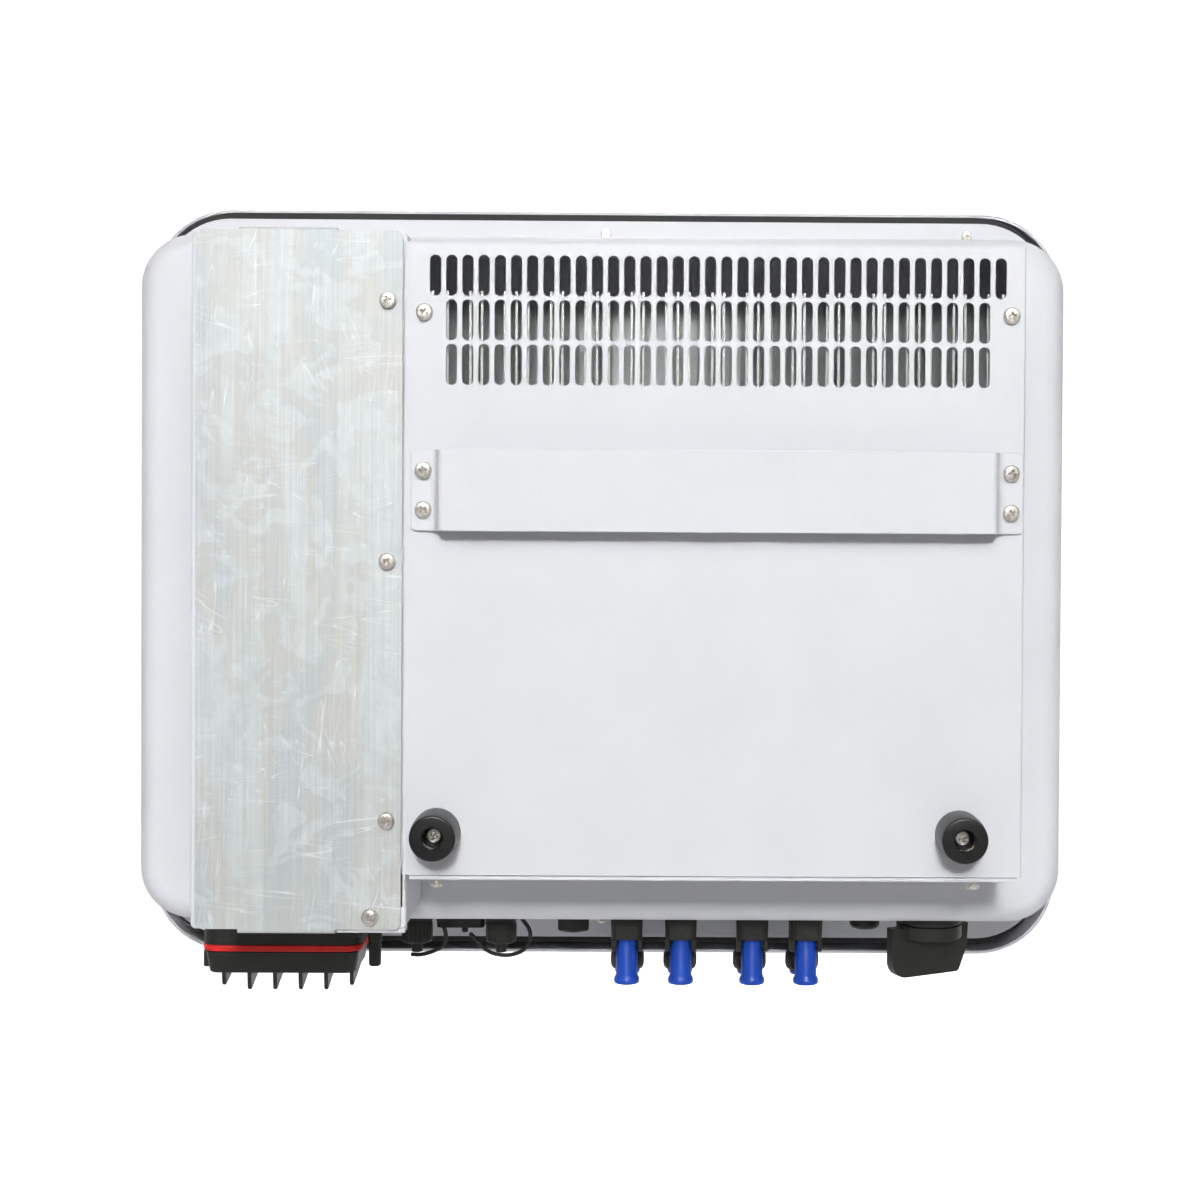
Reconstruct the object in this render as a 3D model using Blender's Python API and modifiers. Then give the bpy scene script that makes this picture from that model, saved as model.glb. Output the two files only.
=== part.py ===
# A string inverter that hangs on a wall: a casing with a finned heatsink under a slotted sheet cover,
# an aluminium box for the inductors beside it, and a row of connectors under the casing.
# Metres, +Z up. The front faces -Y and the wall is on the +Y side.
# The origin is the middle of the rear face of the hanging bracket.
import bpy
import bmesh
from math import cos, sin, pi, radians
from mathutils import Vector

GAP = 0.0003                     # clearance between pieces that touch
SHEET = 0.0015                   # wall of the slotted cover

# casing pan and its flange, centred on CASING_X
CASING_X = 0.060
PAN_WIDTH = 0.491
PAN_TOP = 0.1366
PAN_BOTTOM = -0.2291
PAN_REAR = -0.078                # rear face of the pan
PAN_CORNER = 0.028
PAN_ROUND = 0.012                # soft edge round the rear face
PAN_WALL = 0.002
FLANGE_Y = -0.165                # rear face of the flange
FLANGE_WIDTH = 0.510
FLANGE_TOP = 0.1568
FLANGE_BOTTOM = -0.2552
FLANGE_CORNER = 0.040

# black band between flange and front cover, and the cover itself
BAND_WIDTH = 0.515
BAND_TOP = 0.1607
BAND_BOTTOM = -0.2585
BAND_THICK = 0.003
COVER_X = 0.0592                  # middle of the front cover
COVER_WIDTH = 0.5236
COVER_TOP = 0.1631
COVER_BOTTOM = -0.2660
COVER_CORNER = 0.042
COVER_FRONT = -0.210
COVER_ROUND = 0.016
COVER_WALL = 0.0025
WINDOW_SIZE = (0.110, 0.026)     # dark status window in the front
WINDOW_Z = 0.055

# slotted cover, centred on x = 0
VENT_HALF = 0.153
VENT_TOP = 0.1244
VENT_BOTTOM = -0.1912
VENT_REAR = -0.012
VENT_BEND = 0.005
SLOT_PITCH = 0.008
SLOT_ROWS = ((0.1063, 36), (0.0843, 34), (0.0623, 34))   # height and number of slots
SLOT_WIDTH = 0.0056
SLOT_LENGTH = 0.0203
PLATE_THICK = 0.0017
PLATE_GAP = 0.0008               # open seam between the cover and its bottom plate
INTAKE_SLOTS = 10
INTAKE_PITCH = 0.024
INTAKE_HALF = 0.0035

# heatsink
SINK_TOP = 0.099
SINK_BOTTOM = -0.160
SINK_BASE = 0.006
FIN_PITCH = 0.00572
FIN_COUNT = 48
FIN_THICK = 0.0012
FIN_TIP = -0.0155
END_WALL = (0.141, 0.1495)       # inner and outer face of the thick walls at both sides

# hanging bracket
BRACKET_HALF = 0.1515
BRACKET_RAISED = 0.137           # half width of the raised part
BRACKET_HEIGHT = 0.0404
BRACKET_THICK = 0.002
BRACKET_SCREW = (0.1454, 0.00975)
VENT_SCREW_Z = 0.0880            # the slotted cover's own screws, in line with the bracket's

# box for the inductors
BOX_X = (0.1537, 0.2612)
BOX_Z = (-0.2190, 0.1277)
BOX_REAR = -0.0140
BOX_WALL = 0.0018
BOX_PLATE_X = (0.1562, 0.2585)
BOX_PLATE_Z = (-0.2186, 0.1267)
BOX_PLATE_THICK = 0.0015
BOX_TAB_X = (0.1889, 0.2372)
BOX_SCREWS = ((0.1634, 0.0937), (0.1634, -0.0355), (0.1634, -0.1642), (0.1714, -0.2123))

# rubber feet
FOOT_PLACES = (('left', 0.1384), ('right', -0.1213))
FOOT_Z = -0.1697
FOOT_HEIGHT = 0.0207
FOOT_RADIUS = 0.0120
FOOT_BORE = 0.0052
FOOT_SEAT = 0.009                # height of the floor of the bore

SCREW_HEAD = 0.0042
SCREW_SHANK = 0.00175
SCREW_HOLE = 0.0023

# what hangs under the casing
WALL_Z = PAN_BOTTOM - GAP
NEAR_ROW = -0.112
FAR_ROW = -0.140
PV_X = (0.0450, 0.0154, -0.0238, -0.0534)
AC_X = 0.2341                    # middle of the socket
AC_PLUG_X = 0.2341               # middle of the plug, whose partition ribs sit a little to one side
AC_RIB_X = 0.2310
AC_Y = -0.131
AC_SIZE = (0.0871, 0.046)
AC_CORNER = 0.009
AC_PLUG_SIZE = (0.0802, 0.042)
AC_PITCH = 0.014
AC_SEAL_Z = (-0.2518, -0.2483)
AC_PLUG_BOTTOM = -0.2640
AC_MOUTH = (0.066, 0.032)        # opening that the plug's spigot enters
COM_Y = -0.117
COM_X = (0.1607, 0.1144)
KNOB_PLACE = (-0.1211, -0.112)
KNOB_TURN = radians(25)


LOOKS = {
    'white_paint': ((0.74, 0.76, 0.78), 0.45),
    'black_plastic': ((0.012, 0.012, 0.012), 0.5),
    'grey_plastic': ((0.03, 0.03, 0.03), 0.4),
    'black_rubber': ((0.015, 0.015, 0.015), 0.8),
    'red_rubber': ((0.75, 0.03, 0.02), 0.55),
    'blue_plastic': ((0.015, 0.08, 0.55), 0.35),
    'bare_aluminium': ((0.72, 0.74, 0.76), 0.35, 1.0),
    'nickel_steel': ((0.75, 0.72, 0.68), 0.25, 1.0),
    'window_glass': ((0.01, 0.01, 0.012), 0.1),
    'circuit_board': ((0.02, 0.16, 0.05), 0.5),
    'potting': ((0.03, 0.03, 0.035), 0.6),
}


def start():
    for obj in list(bpy.data.objects):
        bpy.data.objects.remove(obj, do_unlink=True)
    for name in ('string_inverter', 'cutters'):
        bpy.context.scene.collection.children.link(bpy.data.collections.new(name))


def material(name, colour, roughness, metallic=0.0):
    made = bpy.data.materials.new(name)
    made.use_nodes = True
    shader = made.node_tree.nodes['Principled BSDF']
    shader.inputs['Base Color'].default_value = (*colour, 1.0)
    shader.inputs['Roughness'].default_value = roughness
    shader.inputs['Metallic'].default_value = metallic
    return made


def add(obj, kind):
    # a kind of None makes a cutter
    if kind is None:
        bpy.data.collections['cutters'].objects.link(obj)
        obj.hide_render = True
        obj.display_type = 'WIRE'
        return obj
    bpy.data.collections['string_inverter'].objects.link(obj)
    look = material(obj.name + '_look', *LOOKS[kind])
    if obj.data.materials:
        obj.data.materials[0] = look
    else:
        obj.data.materials.append(look)
    return obj


def mesh_object(name, bm, kind):
    mesh = bpy.data.meshes.new(name)
    bm.to_mesh(mesh)
    bm.free()
    return add(bpy.data.objects.new(name, mesh), kind)


def boolean(obj, other, operation):
    step = obj.modifiers.new(operation.title(), 'BOOLEAN')
    step.operation = operation
    step.solver = 'EXACT'
    step.object = other


def cut(obj, cutter):
    boolean(obj, cutter, 'DIFFERENCE')


def join(obj, other):
    boolean(obj, other, 'UNION')


def block(name, low, high, kind, rounding=0.0, axis=None, segments=2):
    # a box; rounding bevels all its edges, or only those along one axis
    bm = bmesh.new()
    bmesh.ops.create_cube(bm, size=1.0)
    size = [b - a for a, b in zip(low, high)]
    centre = [(a + b) / 2 for a, b in zip(low, high)]
    bmesh.ops.scale(bm, vec=size, verts=bm.verts)
    bmesh.ops.translate(bm, vec=centre, verts=bm.verts)
    if rounding:
        edges = bm.edges[:]
        if axis is not None:
            edges = [e for e in edges if abs((e.verts[0].co - e.verts[1].co)[axis]) > size[axis] / 2]
        bmesh.ops.bevel(bm, geom=edges, offset=rounding, segments=segments, profile=0.5, affect='EDGES')
    return mesh_object(name, bm, kind)


def rounded_outline(width, height, corner, centre, steps=5):
    # corner arcs joined by straight sides, counter-clockwise
    points = []
    for side, rise, begin in ((1, 1, 0), (-1, 1, 90), (-1, -1, 180), (1, -1, 270)):
        for k in range(steps + 1):
            angle = radians(begin + 90 * k / steps)
            points.append((centre[0] + side * (width / 2 - corner) + corner * cos(angle),
                           centre[1] + rise * (height / 2 - corner) + corner * sin(angle)))
    return points


def upright(outline, y):
    return [Vector((a, y, b)) for a, b in outline]


def level(outline, z):
    return [Vector((a, b, z)) for a, b in outline]


def loft(name, rings, kind, first_cap=True, last_cap=True):
    # skin through rings that have the same number of points
    bm = bmesh.new()
    loops = [[bm.verts.new(point) for point in points] for points in rings]
    count = len(rings[0])
    for a, b in zip(loops, loops[1:]):
        for k in range(count):
            n = (k + 1) % count
            bm.faces.new((a[k], a[n], b[n], b[k]))
    if first_cap:
        bm.faces.new(list(reversed(loops[0])))
    if last_cap:
        bm.faces.new(loops[-1])
    if first_cap and last_cap:
        bmesh.ops.recalc_face_normals(bm, faces=bm.faces)
    return mesh_object(name, bm, kind)


def thicken(obj, wall):
    step = obj.modifiers.new('Wall', 'SOLIDIFY')
    step.thickness = wall
    step.offset = -1.0
    step.use_even_offset = True


def turned(name, profile, place, kind, steps=16, along='Z', closed=False):
    # profile of (radius, height), from the top down its outer side
    edges = [(k, k + 1) for k in range(len(profile) - 1)]
    if closed:
        edges.append((len(profile) - 1, 0))
    mesh = bpy.data.meshes.new(name)
    mesh.from_pydata([(radius, 0.0, height) for radius, height in profile], edges, [])
    obj = add(bpy.data.objects.new(name, mesh), kind)
    step = obj.modifiers.new('Turn', 'SCREW')
    step.steps = steps
    step.render_steps = steps
    step.use_merge_vertices = True
    step.merge_threshold = 0.00001
    obj.location = place
    if along == 'Y':
        obj.rotation_euler = (-pi / 2, 0.0, 0.0)
    return obj


def from_curve(name, curve, kind, turn=(0.0, 0.0, 0.0), place=(0.0, 0.0, 0.0)):
    # a filled curve made into a closed mesh
    guide = bpy.data.objects.new(name + '_guide', curve)
    guide.rotation_euler = turn
    guide.location = place
    bpy.context.scene.collection.objects.link(guide)
    bpy.context.view_layer.update()
    mesh = bpy.data.meshes.new_from_object(guide.evaluated_get(bpy.context.evaluated_depsgraph_get()))
    bm = bmesh.new()
    bm.from_mesh(mesh)
    bmesh.ops.remove_doubles(bm, verts=bm.verts, dist=0.00001)
    bmesh.ops.recalc_face_normals(bm, faces=bm.faces)
    bm.to_mesh(mesh)
    bm.free()
    obj = bpy.data.objects.new(name, mesh)
    obj.matrix_world = guide.matrix_world.copy()
    bpy.data.objects.remove(guide, do_unlink=True)
    return add(obj, kind)


def sheet_outline(name, outline, low, high, kind, along='Z'):
    # a flat outline extruded between low and high along Z, X or Y
    curve = bpy.data.curves.new(name, 'CURVE')
    curve.dimensions = '2D'
    curve.fill_mode = 'BOTH'
    curve.extrude = (high - low) / 2
    line = curve.splines.new('POLY')
    line.points.add(len(outline) - 1)
    for point, (a, b) in zip(line.points, outline):
        point.co = (a, b, 0.0, 1.0)
    line.use_cyclic_u = True
    middle = (low + high) / 2
    if along == 'Y':
        return from_curve(name, curve, kind, (pi / 2, 0.0, 0.0), (0.0, middle, 0.0))
    if along == 'X':
        return from_curve(name, curve, kind, (pi / 2, 0.0, pi / 2), (middle, 0.0, 0.0))
    return from_curve(name, curve, kind, place=(0.0, 0.0, middle))


def hole(place, radius, length, along='Y', steps=12):
    # a round cutter centred on place
    half = length / 2
    profile = ((0.0, half), (radius, half), (radius, -half), (0.0, -half))
    return turned('hole', profile, place, None, steps, along)


def pan_screw(name, x, seat, z, length, head=SCREW_HEAD):
    # a pan head standing on seat, its shank running forward into the inverter
    profile = ((0.0, 0.0026), (head * 0.6, 0.0023), (head * 0.92, 0.0013), (head, 0.0),
               (SCREW_SHANK, 0.0), (SCREW_SHANK, -length), (0.0, -length))
    return turned(name, profile, (x, seat, z), 'nickel_steel', 10, 'Y')


def make_housing():
    centre = (CASING_X, (PAN_TOP + PAN_BOTTOM) / 2)
    height = PAN_TOP - PAN_BOTTOM
    rings = []
    steps = 4
    for k in range(steps + 1):
        angle = pi / 2 * k / steps
        inset = PAN_ROUND * (1 - sin(angle))
        back = PAN_REAR - PAN_ROUND * (1 - cos(angle))
        outline = rounded_outline(PAN_WIDTH - 2 * inset, height - 2 * inset, PAN_CORNER - inset, centre)
        rings.append(upright(outline, back))
    outline = rounded_outline(PAN_WIDTH, height, PAN_CORNER, centre)
    rings.append(upright(outline, FLANGE_Y))
    flange_centre = (CASING_X, (FLANGE_TOP + FLANGE_BOTTOM) / 2)
    outline = rounded_outline(FLANGE_WIDTH, FLANGE_TOP - FLANGE_BOTTOM, FLANGE_CORNER, flange_centre)
    rings.append(upright(outline, FLANGE_Y))
    housing = loft('housing', rings, 'white_paint', True, False)
    thicken(housing, PAN_WALL)
    # opening behind the heatsink, where the power module reaches its base
    cut(housing, block('sink_window', (-0.110, -0.090, -0.110), (0.110, -0.070, 0.060), None))


def make_band():
    outer = rounded_outline(BAND_WIDTH, BAND_TOP - BAND_BOTTOM, FLANGE_CORNER,
                            (CASING_X, (BAND_TOP + BAND_BOTTOM) / 2))
    rear = FLANGE_Y - PAN_WALL - GAP
    front = rear - BAND_THICK
    band = loft('cover_gasket', [upright(outer, rear), upright(outer, front)], 'black_rubber')
    inner = rounded_outline(PAN_WIDTH, PAN_TOP - PAN_BOTTOM, PAN_CORNER,
                            (CASING_X, (PAN_TOP + PAN_BOTTOM) / 2))
    opening = loft('band_opening', [upright(inner, rear + 0.01), upright(inner, front - 0.01)], None)
    cut(band, opening)
    return front


def make_front_cover(band_front):
    centre = (COVER_X, (COVER_TOP + COVER_BOTTOM) / 2)
    height = COVER_TOP - COVER_BOTTOM
    edge = 0.003
    rear = band_front - GAP

    def outline(inset):
        return rounded_outline(COVER_WIDTH - 2 * inset, height - 2 * inset, COVER_CORNER - inset, centre)

    rings = [upright(outline(edge), rear), upright(outline(edge * 0.3), rear - edge * 0.3),
             upright(outline(0.0), rear - edge)]
    steps = 4
    for k in range(steps + 1):
        angle = pi / 2 * k / steps
        inset = COVER_ROUND * (1 - cos(angle))
        rings.append(upright(outline(inset), COVER_FRONT + COVER_ROUND * (1 - sin(angle))))
    cover = loft('front_cover', rings, 'white_paint', False, True)
    thicken(cover, COVER_WALL)
    window = rounded_outline(*WINDOW_SIZE, 0.006, (CASING_X, WINDOW_Z), 3)
    clearance = 2 * GAP
    opening = rounded_outline(WINDOW_SIZE[0] + clearance, WINDOW_SIZE[1] + clearance, 0.006 + GAP,
                              (CASING_X, WINDOW_Z), 3)
    cut(cover, loft('window_opening', [upright(opening, COVER_FRONT + 0.01),
                                       upright(opening, COVER_FRONT - 0.01)], None))
    loft('status_window', [upright(window, COVER_FRONT + 0.003), upright(window, COVER_FRONT)],
         'window_glass')


def folded_cover(name, kind):
    # five-sided tray without its bottom and its front, bends rounded
    low = (-VENT_HALF, PAN_REAR + GAP, VENT_BOTTOM)
    high = (VENT_HALF, VENT_REAR, VENT_TOP)
    bm = bmesh.new()
    bmesh.ops.create_cube(bm, size=1.0)
    bmesh.ops.scale(bm, vec=[b - a for a, b in zip(low, high)], verts=bm.verts)
    bmesh.ops.translate(bm, vec=[(a + b) / 2 for a, b in zip(low, high)], verts=bm.verts)
    open_sides = [f for f in bm.faces if f.normal.z < -0.5 or f.normal.y < -0.5]
    bmesh.ops.delete(bm, geom=open_sides, context='FACES')
    bends = [e for e in bm.edges if not e.is_boundary]
    bmesh.ops.bevel(bm, geom=bends, offset=VENT_BEND, segments=3, profile=0.5, affect='EDGES')
    return mesh_object(name, bm, kind)


def slot_cutter(name, places, width, length, y_range):
    # upright slots with round ends, one closed body each
    bm = bmesh.new()
    arc = 3
    straight = (length - width) / 2
    for x, z in places:
        points = []
        for rise, begin in ((1, 0), (-1, 180)):
            for k in range(arc + 1):
                angle = radians(begin + 180 * k / arc)
                points.append((x + width / 2 * cos(angle), z + rise * straight + width / 2 * sin(angle)))
        face = bm.faces.new([bm.verts.new((a, y_range[0], b)) for a, b in points])
        grown = bmesh.ops.extrude_face_region(bm, geom=[face])['geom']
        moved = [v for v in grown if isinstance(v, bmesh.types.BMVert)]
        bmesh.ops.translate(bm, vec=(0.0, y_range[1] - y_range[0], 0.0), verts=moved)
    bmesh.ops.recalc_face_normals(bm, faces=bm.faces)
    return mesh_object(name, bm, None)


def make_vent_cover():
    cover = folded_cover('vent_cover', 'white_paint')
    thicken(cover, SHEET)
    places = []
    for z, count in SLOT_ROWS:
        places += [((k - (count - 1) / 2) * SLOT_PITCH, z) for k in range(count)]
    cut(cover, slot_cutter('vent_slots', places, SLOT_WIDTH, SLOT_LENGTH, (-0.020, -0.004)))
    x, z = BRACKET_SCREW
    holes = [(side * x, rise * z) for side in (-1, 1) for rise in (-1, 1)]
    holes += [(x, VENT_SCREW_Z), (-x, VENT_SCREW_Z)]
    holes += [(foot_x, FOOT_Z) for _, foot_x in FOOT_PLACES]
    for x, z in holes:
        cut(cover, hole((x, VENT_REAR, z), SCREW_HOLE, 0.008))


def make_bottom_plate():
    top = VENT_BOTTOM - PLATE_GAP
    plate = block('vent_bottom_plate', (-0.1474, PAN_REAR + GAP, top - PLATE_THICK),
                  (0.1521, VENT_REAR - 0.0005, top), 'white_paint')
    # air comes in here and leaves through the slots above
    for k in range(INTAKE_SLOTS):
        x = (k - (INTAKE_SLOTS - 1) / 2) * INTAKE_PITCH
        cut(plate, block('intake', (x - INTAKE_HALF, -0.066, top - 0.01),
                         (x + INTAKE_HALF, -0.026, top + 0.01), None))


def make_heatsink():
    foot = PAN_REAR + GAP
    root = foot + SINK_BASE
    inner, outer = END_WALL
    walls = [(-outer, -inner)]
    for k in range(FIN_COUNT):
        x = (k - (FIN_COUNT - 1) / 2) * FIN_PITCH
        walls.append((x - FIN_THICK / 2, x + FIN_THICK / 2))
    walls.append((inner, outer))
    outline = [(outer, foot), (-outer, foot)]
    for k, (a, b) in enumerate(walls):
        if k:
            outline.append((a, root))
        outline += [(a, FIN_TIP), (b, FIN_TIP)]
        if k < len(walls) - 1:
            outline.append((b, root))
    sink = sheet_outline('heatsink', outline, SINK_BOTTOM, SINK_TOP, 'bare_aluminium')
    x, z = BRACKET_SCREW
    for side in (-1, 1):
        for height in (-z, z, VENT_SCREW_Z):
            cut(sink, hole((side * x, FIN_TIP, height), SCREW_HOLE, 0.020))


def make_bracket():
    # hat section: two flanges on the cover and a raised middle that the wall hook reaches behind
    flat = VENT_REAR + GAP
    thick = BRACKET_THICK
    slope = 0.002
    a, b = BRACKET_HALF, BRACKET_RAISED
    half = [(a, flat), (a, flat + thick), (b + slope, flat + thick), (b, 0.0)]
    inner = [(b - thick, -thick), (b + slope - thick, flat)]
    outline = half + [(-x, y) for x, y in reversed(half)]
    outline += [(-x, y) for x, y in reversed(inner)] + inner
    bracket = sheet_outline('hanging_bracket', outline, -BRACKET_HEIGHT / 2, BRACKET_HEIGHT / 2,
                            'white_paint')
    x, z = BRACKET_SCREW
    for side in (-1, 1):
        for rise in (-1, 1):
            cut(bracket, hole((side * x, flat, rise * z), SCREW_HOLE, 0.012))
            number = (1 - side) + (3 - rise) // 2
            pan_screw('bracket_screw_%d' % number, side * x, flat + thick + GAP, rise * z, 0.011)


def make_vent_screws():
    for number, side in ((1, 1), (2, -1)):
        pan_screw('vent_cover_screw_%d' % number, side * BRACKET_SCREW[0], VENT_REAR + GAP,
                  VENT_SCREW_Z, 0.009)


def make_feet():
    for side, x in FOOT_PLACES:
        tip = FOOT_HEIGHT
        profile = ((FOOT_RADIUS - 0.0012, tip), (FOOT_RADIUS - 0.0006, tip - 0.0006), (FOOT_RADIUS, GAP),
                   (SCREW_HOLE, GAP), (SCREW_HOLE, FOOT_SEAT), (FOOT_BORE, FOOT_SEAT), (FOOT_BORE, tip))
        place = (x, VENT_REAR, FOOT_Z)
        turned('rubber_foot_' + side, profile, place, 'black_rubber', 20, 'Y', closed=True)
        pan_screw('foot_screw_' + side, x, VENT_REAR + FOOT_SEAT + GAP, FOOT_Z, FOOT_SEAT + 0.006, 0.0039)


def make_inductor_box():
    low = (BOX_X[0], PAN_REAR + GAP, BOX_Z[0])
    high = (BOX_X[1], BOX_REAR, BOX_Z[1])
    box = block('inductor_box', low, high, 'white_paint', 0.003, 1, 2)
    flange = 0.018               # strip that takes the screws
    wall = BOX_WALL
    cut(box, block('box_room', (low[0] + flange, low[1] + wall, low[2] + flange),
                   (high[0] - wall, 0.0, high[2] - wall), None))
    cut(box, block('box_under', (low[0] + wall, low[1] + wall, low[2] + wall),
                   (high[0] - wall, high[1] - 0.003, high[2] - wall), None))
    front = BOX_REAR + GAP
    rear = front + BOX_PLATE_THICK
    plate = block('box_cover_plate', (BOX_PLATE_X[0], front, BOX_PLATE_Z[0]),
                  (BOX_PLATE_X[1], rear, BOX_PLATE_Z[1]), 'bare_aluminium', 0.0035, 1, 3)
    # a tab at the top and one at the bottom are bent forward round the edge of the box
    left, right = BOX_TAB_X
    for edge, side in ((BOX_Z[1] + GAP, 1), (BOX_Z[0] - GAP, -1)):
        outer = edge + side * BOX_PLATE_THICK
        low, high = sorted((edge, outer))
        join(plate, block('tab', (left, BOX_REAR - 0.008, low), (right, rear - 0.0002, high), None))
        low, high = sorted((edge - side * 0.004, outer - side * 0.0001))
        join(plate, block('tab_root', (left + 0.0001, front + 0.0001, low),
                          (right - 0.0001, rear - 0.0001, high), None))
    for number, (x, z) in enumerate(BOX_SCREWS, 1):
        cut(plate, hole((x, BOX_REAR, z), SCREW_HOLE, 0.010))
        cut(box, hole((x, BOX_REAR, z), SCREW_HOLE, 0.010))
        pan_screw('box_screw_%d' % number, x, rear + GAP, z, 0.007)
    floor = PAN_REAR + 2 * GAP + wall
    potted = block('potted_inductors', (0.168, floor, -0.190), (0.250, -0.034, 0.110),
                   'potting', 0.004, 1, 2)
    for z in (-0.140, -0.040, 0.060):
        join(potted, block('inductor', (0.178, -0.040, z - 0.036), (0.240, -0.024, z + 0.036), None,
                           0.010, 1, 2))


def make_ac_connector():
    top = WALL_Z
    seal_bottom, seal_top = AC_SEAL_Z
    body_bottom = AC_PLUG_BOTTOM
    centre = (AC_X, AC_Y)
    inner = (AC_PLUG_X, AC_Y)
    socket = loft('ac_socket', [level(rounded_outline(*AC_SIZE, AC_CORNER, centre, 4), top),
                                level(rounded_outline(*AC_SIZE, AC_CORNER, centre, 4), seal_top + GAP)],
                  'black_plastic')
    mouth = rounded_outline(*AC_MOUTH, 0.008, inner, 3)
    cut(socket, loft('socket_mouth', [level(mouth, -0.2340), level(mouth, -0.2600)], None))
    rim = rounded_outline(AC_SIZE[0] + 0.0006, AC_SIZE[1] + 0.0006, AC_CORNER + 0.0003, centre, 4)
    seal = loft('ac_seal', [level(rim, seal_top), level(rim, seal_bottom)],
                'red_rubber')
    cut(seal, loft('seal_mouth', [level(mouth, -0.2340), level(mouth, -0.2600)], None))
    plug_top = seal_bottom - GAP
    length, depth = AC_PLUG_SIZE
    body = ((0.0040, plug_top), (0.0040, plug_top - 0.0020), (0.0, -0.2595), (0.0, body_bottom + 0.0010),
            (-0.0020, body_bottom))
    rings = [level(rounded_outline(length + more, depth + more, 0.006 + more / 2, inner, 4), z)
             for more, z in body]
    plug = loft('ac_plug', rings, 'black_plastic')
    spigot = rounded_outline(AC_MOUTH[0] - 0.001, AC_MOUTH[1] - 0.001, 0.0075, inner, 3)
    join(plug, loft('plug_spigot', [level(spigot, -0.2370), level(spigot, plug_top - 0.004)], None))
    near = AC_Y + AC_PLUG_SIZE[1] / 2 - 0.0015
    for k in range(6):
        x = AC_RIB_X + (k - 2.5) * AC_PITCH
        tip = -0.2744 if 0 < k < 5 else -0.2718
        outline = [(near, -0.2600), (near, tip + 0.0015), (near - 0.0015, tip), (near - 0.0040, tip),
                   (near - 0.0340, body_bottom), (near - 0.0340, -0.2600)]
        join(plug, sheet_outline('rib', outline, x - 0.0011, x + 0.0011, None, 'X'))
    side = AC_PLUG_X + AC_PLUG_SIZE[0] / 2
    cut(plug, block('latch_pocket', (side - 0.0010, -0.1405, -0.2650), (side + 0.01, -0.1215, -0.2500), None))
    block('ac_latch', (side + 0.0010, -0.1400, -0.2632), (side + 0.0053, -0.1220, -0.2535),
          'black_plastic', 0.0008, None, 1)
    profile = ((0.0, top), (0.0038, top), (0.0036, -0.2470), (0.0033, -0.2590), (0.0027, -0.2599),
               (0.0, -0.2599))
    turned('guide_post', profile, (0.1832, -0.112, 0.0), 'black_plastic', 14)


def make_pv_row(number, x, y, near):
    if near:
        body = ((0.0, WALL_Z), (0.0088, WALL_Z), (0.0092, -0.2425), (0.0088, -0.2435), (0.0058, -0.2435),
                (0.0058, -0.2360), (0.0, -0.2360))
        cap = ((0.0, -0.2372), (0.00545, -0.2372), (0.00545, -0.2500), (0.00590, -0.2512),
               (0.00590, -0.2642), (0.00700, -0.2660), (0.00690, -0.2678), (0.00560, -0.2686), (0.0, -0.2686))
    else:
        body = ((0.0, WALL_Z), (0.0075, WALL_Z), (0.0075, -0.2560), (0.0092, -0.2585), (0.0094, -0.2640),
                (0.0084, -0.2666), (0.0072, -0.2666), (0.0062, -0.2658), (0.0062, -0.2500),
                (0.0, -0.2500))
        cap = ((0.0, -0.2512), (0.00590, -0.2512), (0.00590, -0.2669), (0.00700, -0.2672),
               (0.00700, -0.2688), (0.00560, -0.2698), (0.0, -0.2698))
    socket = turned('pv_socket_%d' % number, body, (x, y, 0.0), 'black_plastic', 12)
    if near:
        for side in (-1, 1):
            middle = x + side * 0.0074
            join(socket, block('arm', (middle - 0.0011, y - 0.0035, -0.2511),
                               (middle + 0.0011, y + 0.0035, -0.2400), None))
    turned('pv_cap_%d' % number, cap, (x, y, 0.0), 'blue_plastic', 12)


def make_pv_sockets():
    number = 0
    for y, near in ((NEAR_ROW, True), (FAR_ROW, False)):
        for x in PV_X:
            number += 1
            make_pv_row(number, x, y, near)


def strap(name, route, kind):
    curve = bpy.data.curves.new(name, 'CURVE')
    curve.dimensions = '3D'
    curve.bevel_depth = 0.0010
    curve.bevel_resolution = 1
    curve.use_fill_caps = True
    line = curve.splines.new('POLY')
    points = smooth_route(route, 2)
    line.points.add(len(points) - 1)
    for point, place in zip(line.points, points):
        point.co = (*place, 1.0)
    return from_curve(name, curve, kind)


def smooth_route(route, steps):
    # a curve through every point of the route
    points = [Vector(p) for p in route]
    ends = [2 * points[0] - points[1]] + points + [2 * points[-1] - points[-2]]
    made = []
    for a, b, c, d in zip(ends, ends[1:], ends[2:], ends[3:]):
        for k in range(steps):
            t = k / steps
            made.append(0.5 * (2 * b + (c - a) * t + (2 * a - 5 * b + 4 * c - d) * t * t
                               + (3 * b - a - 3 * c + d) * t ** 3))
    return made + [points[-1]]


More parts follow.
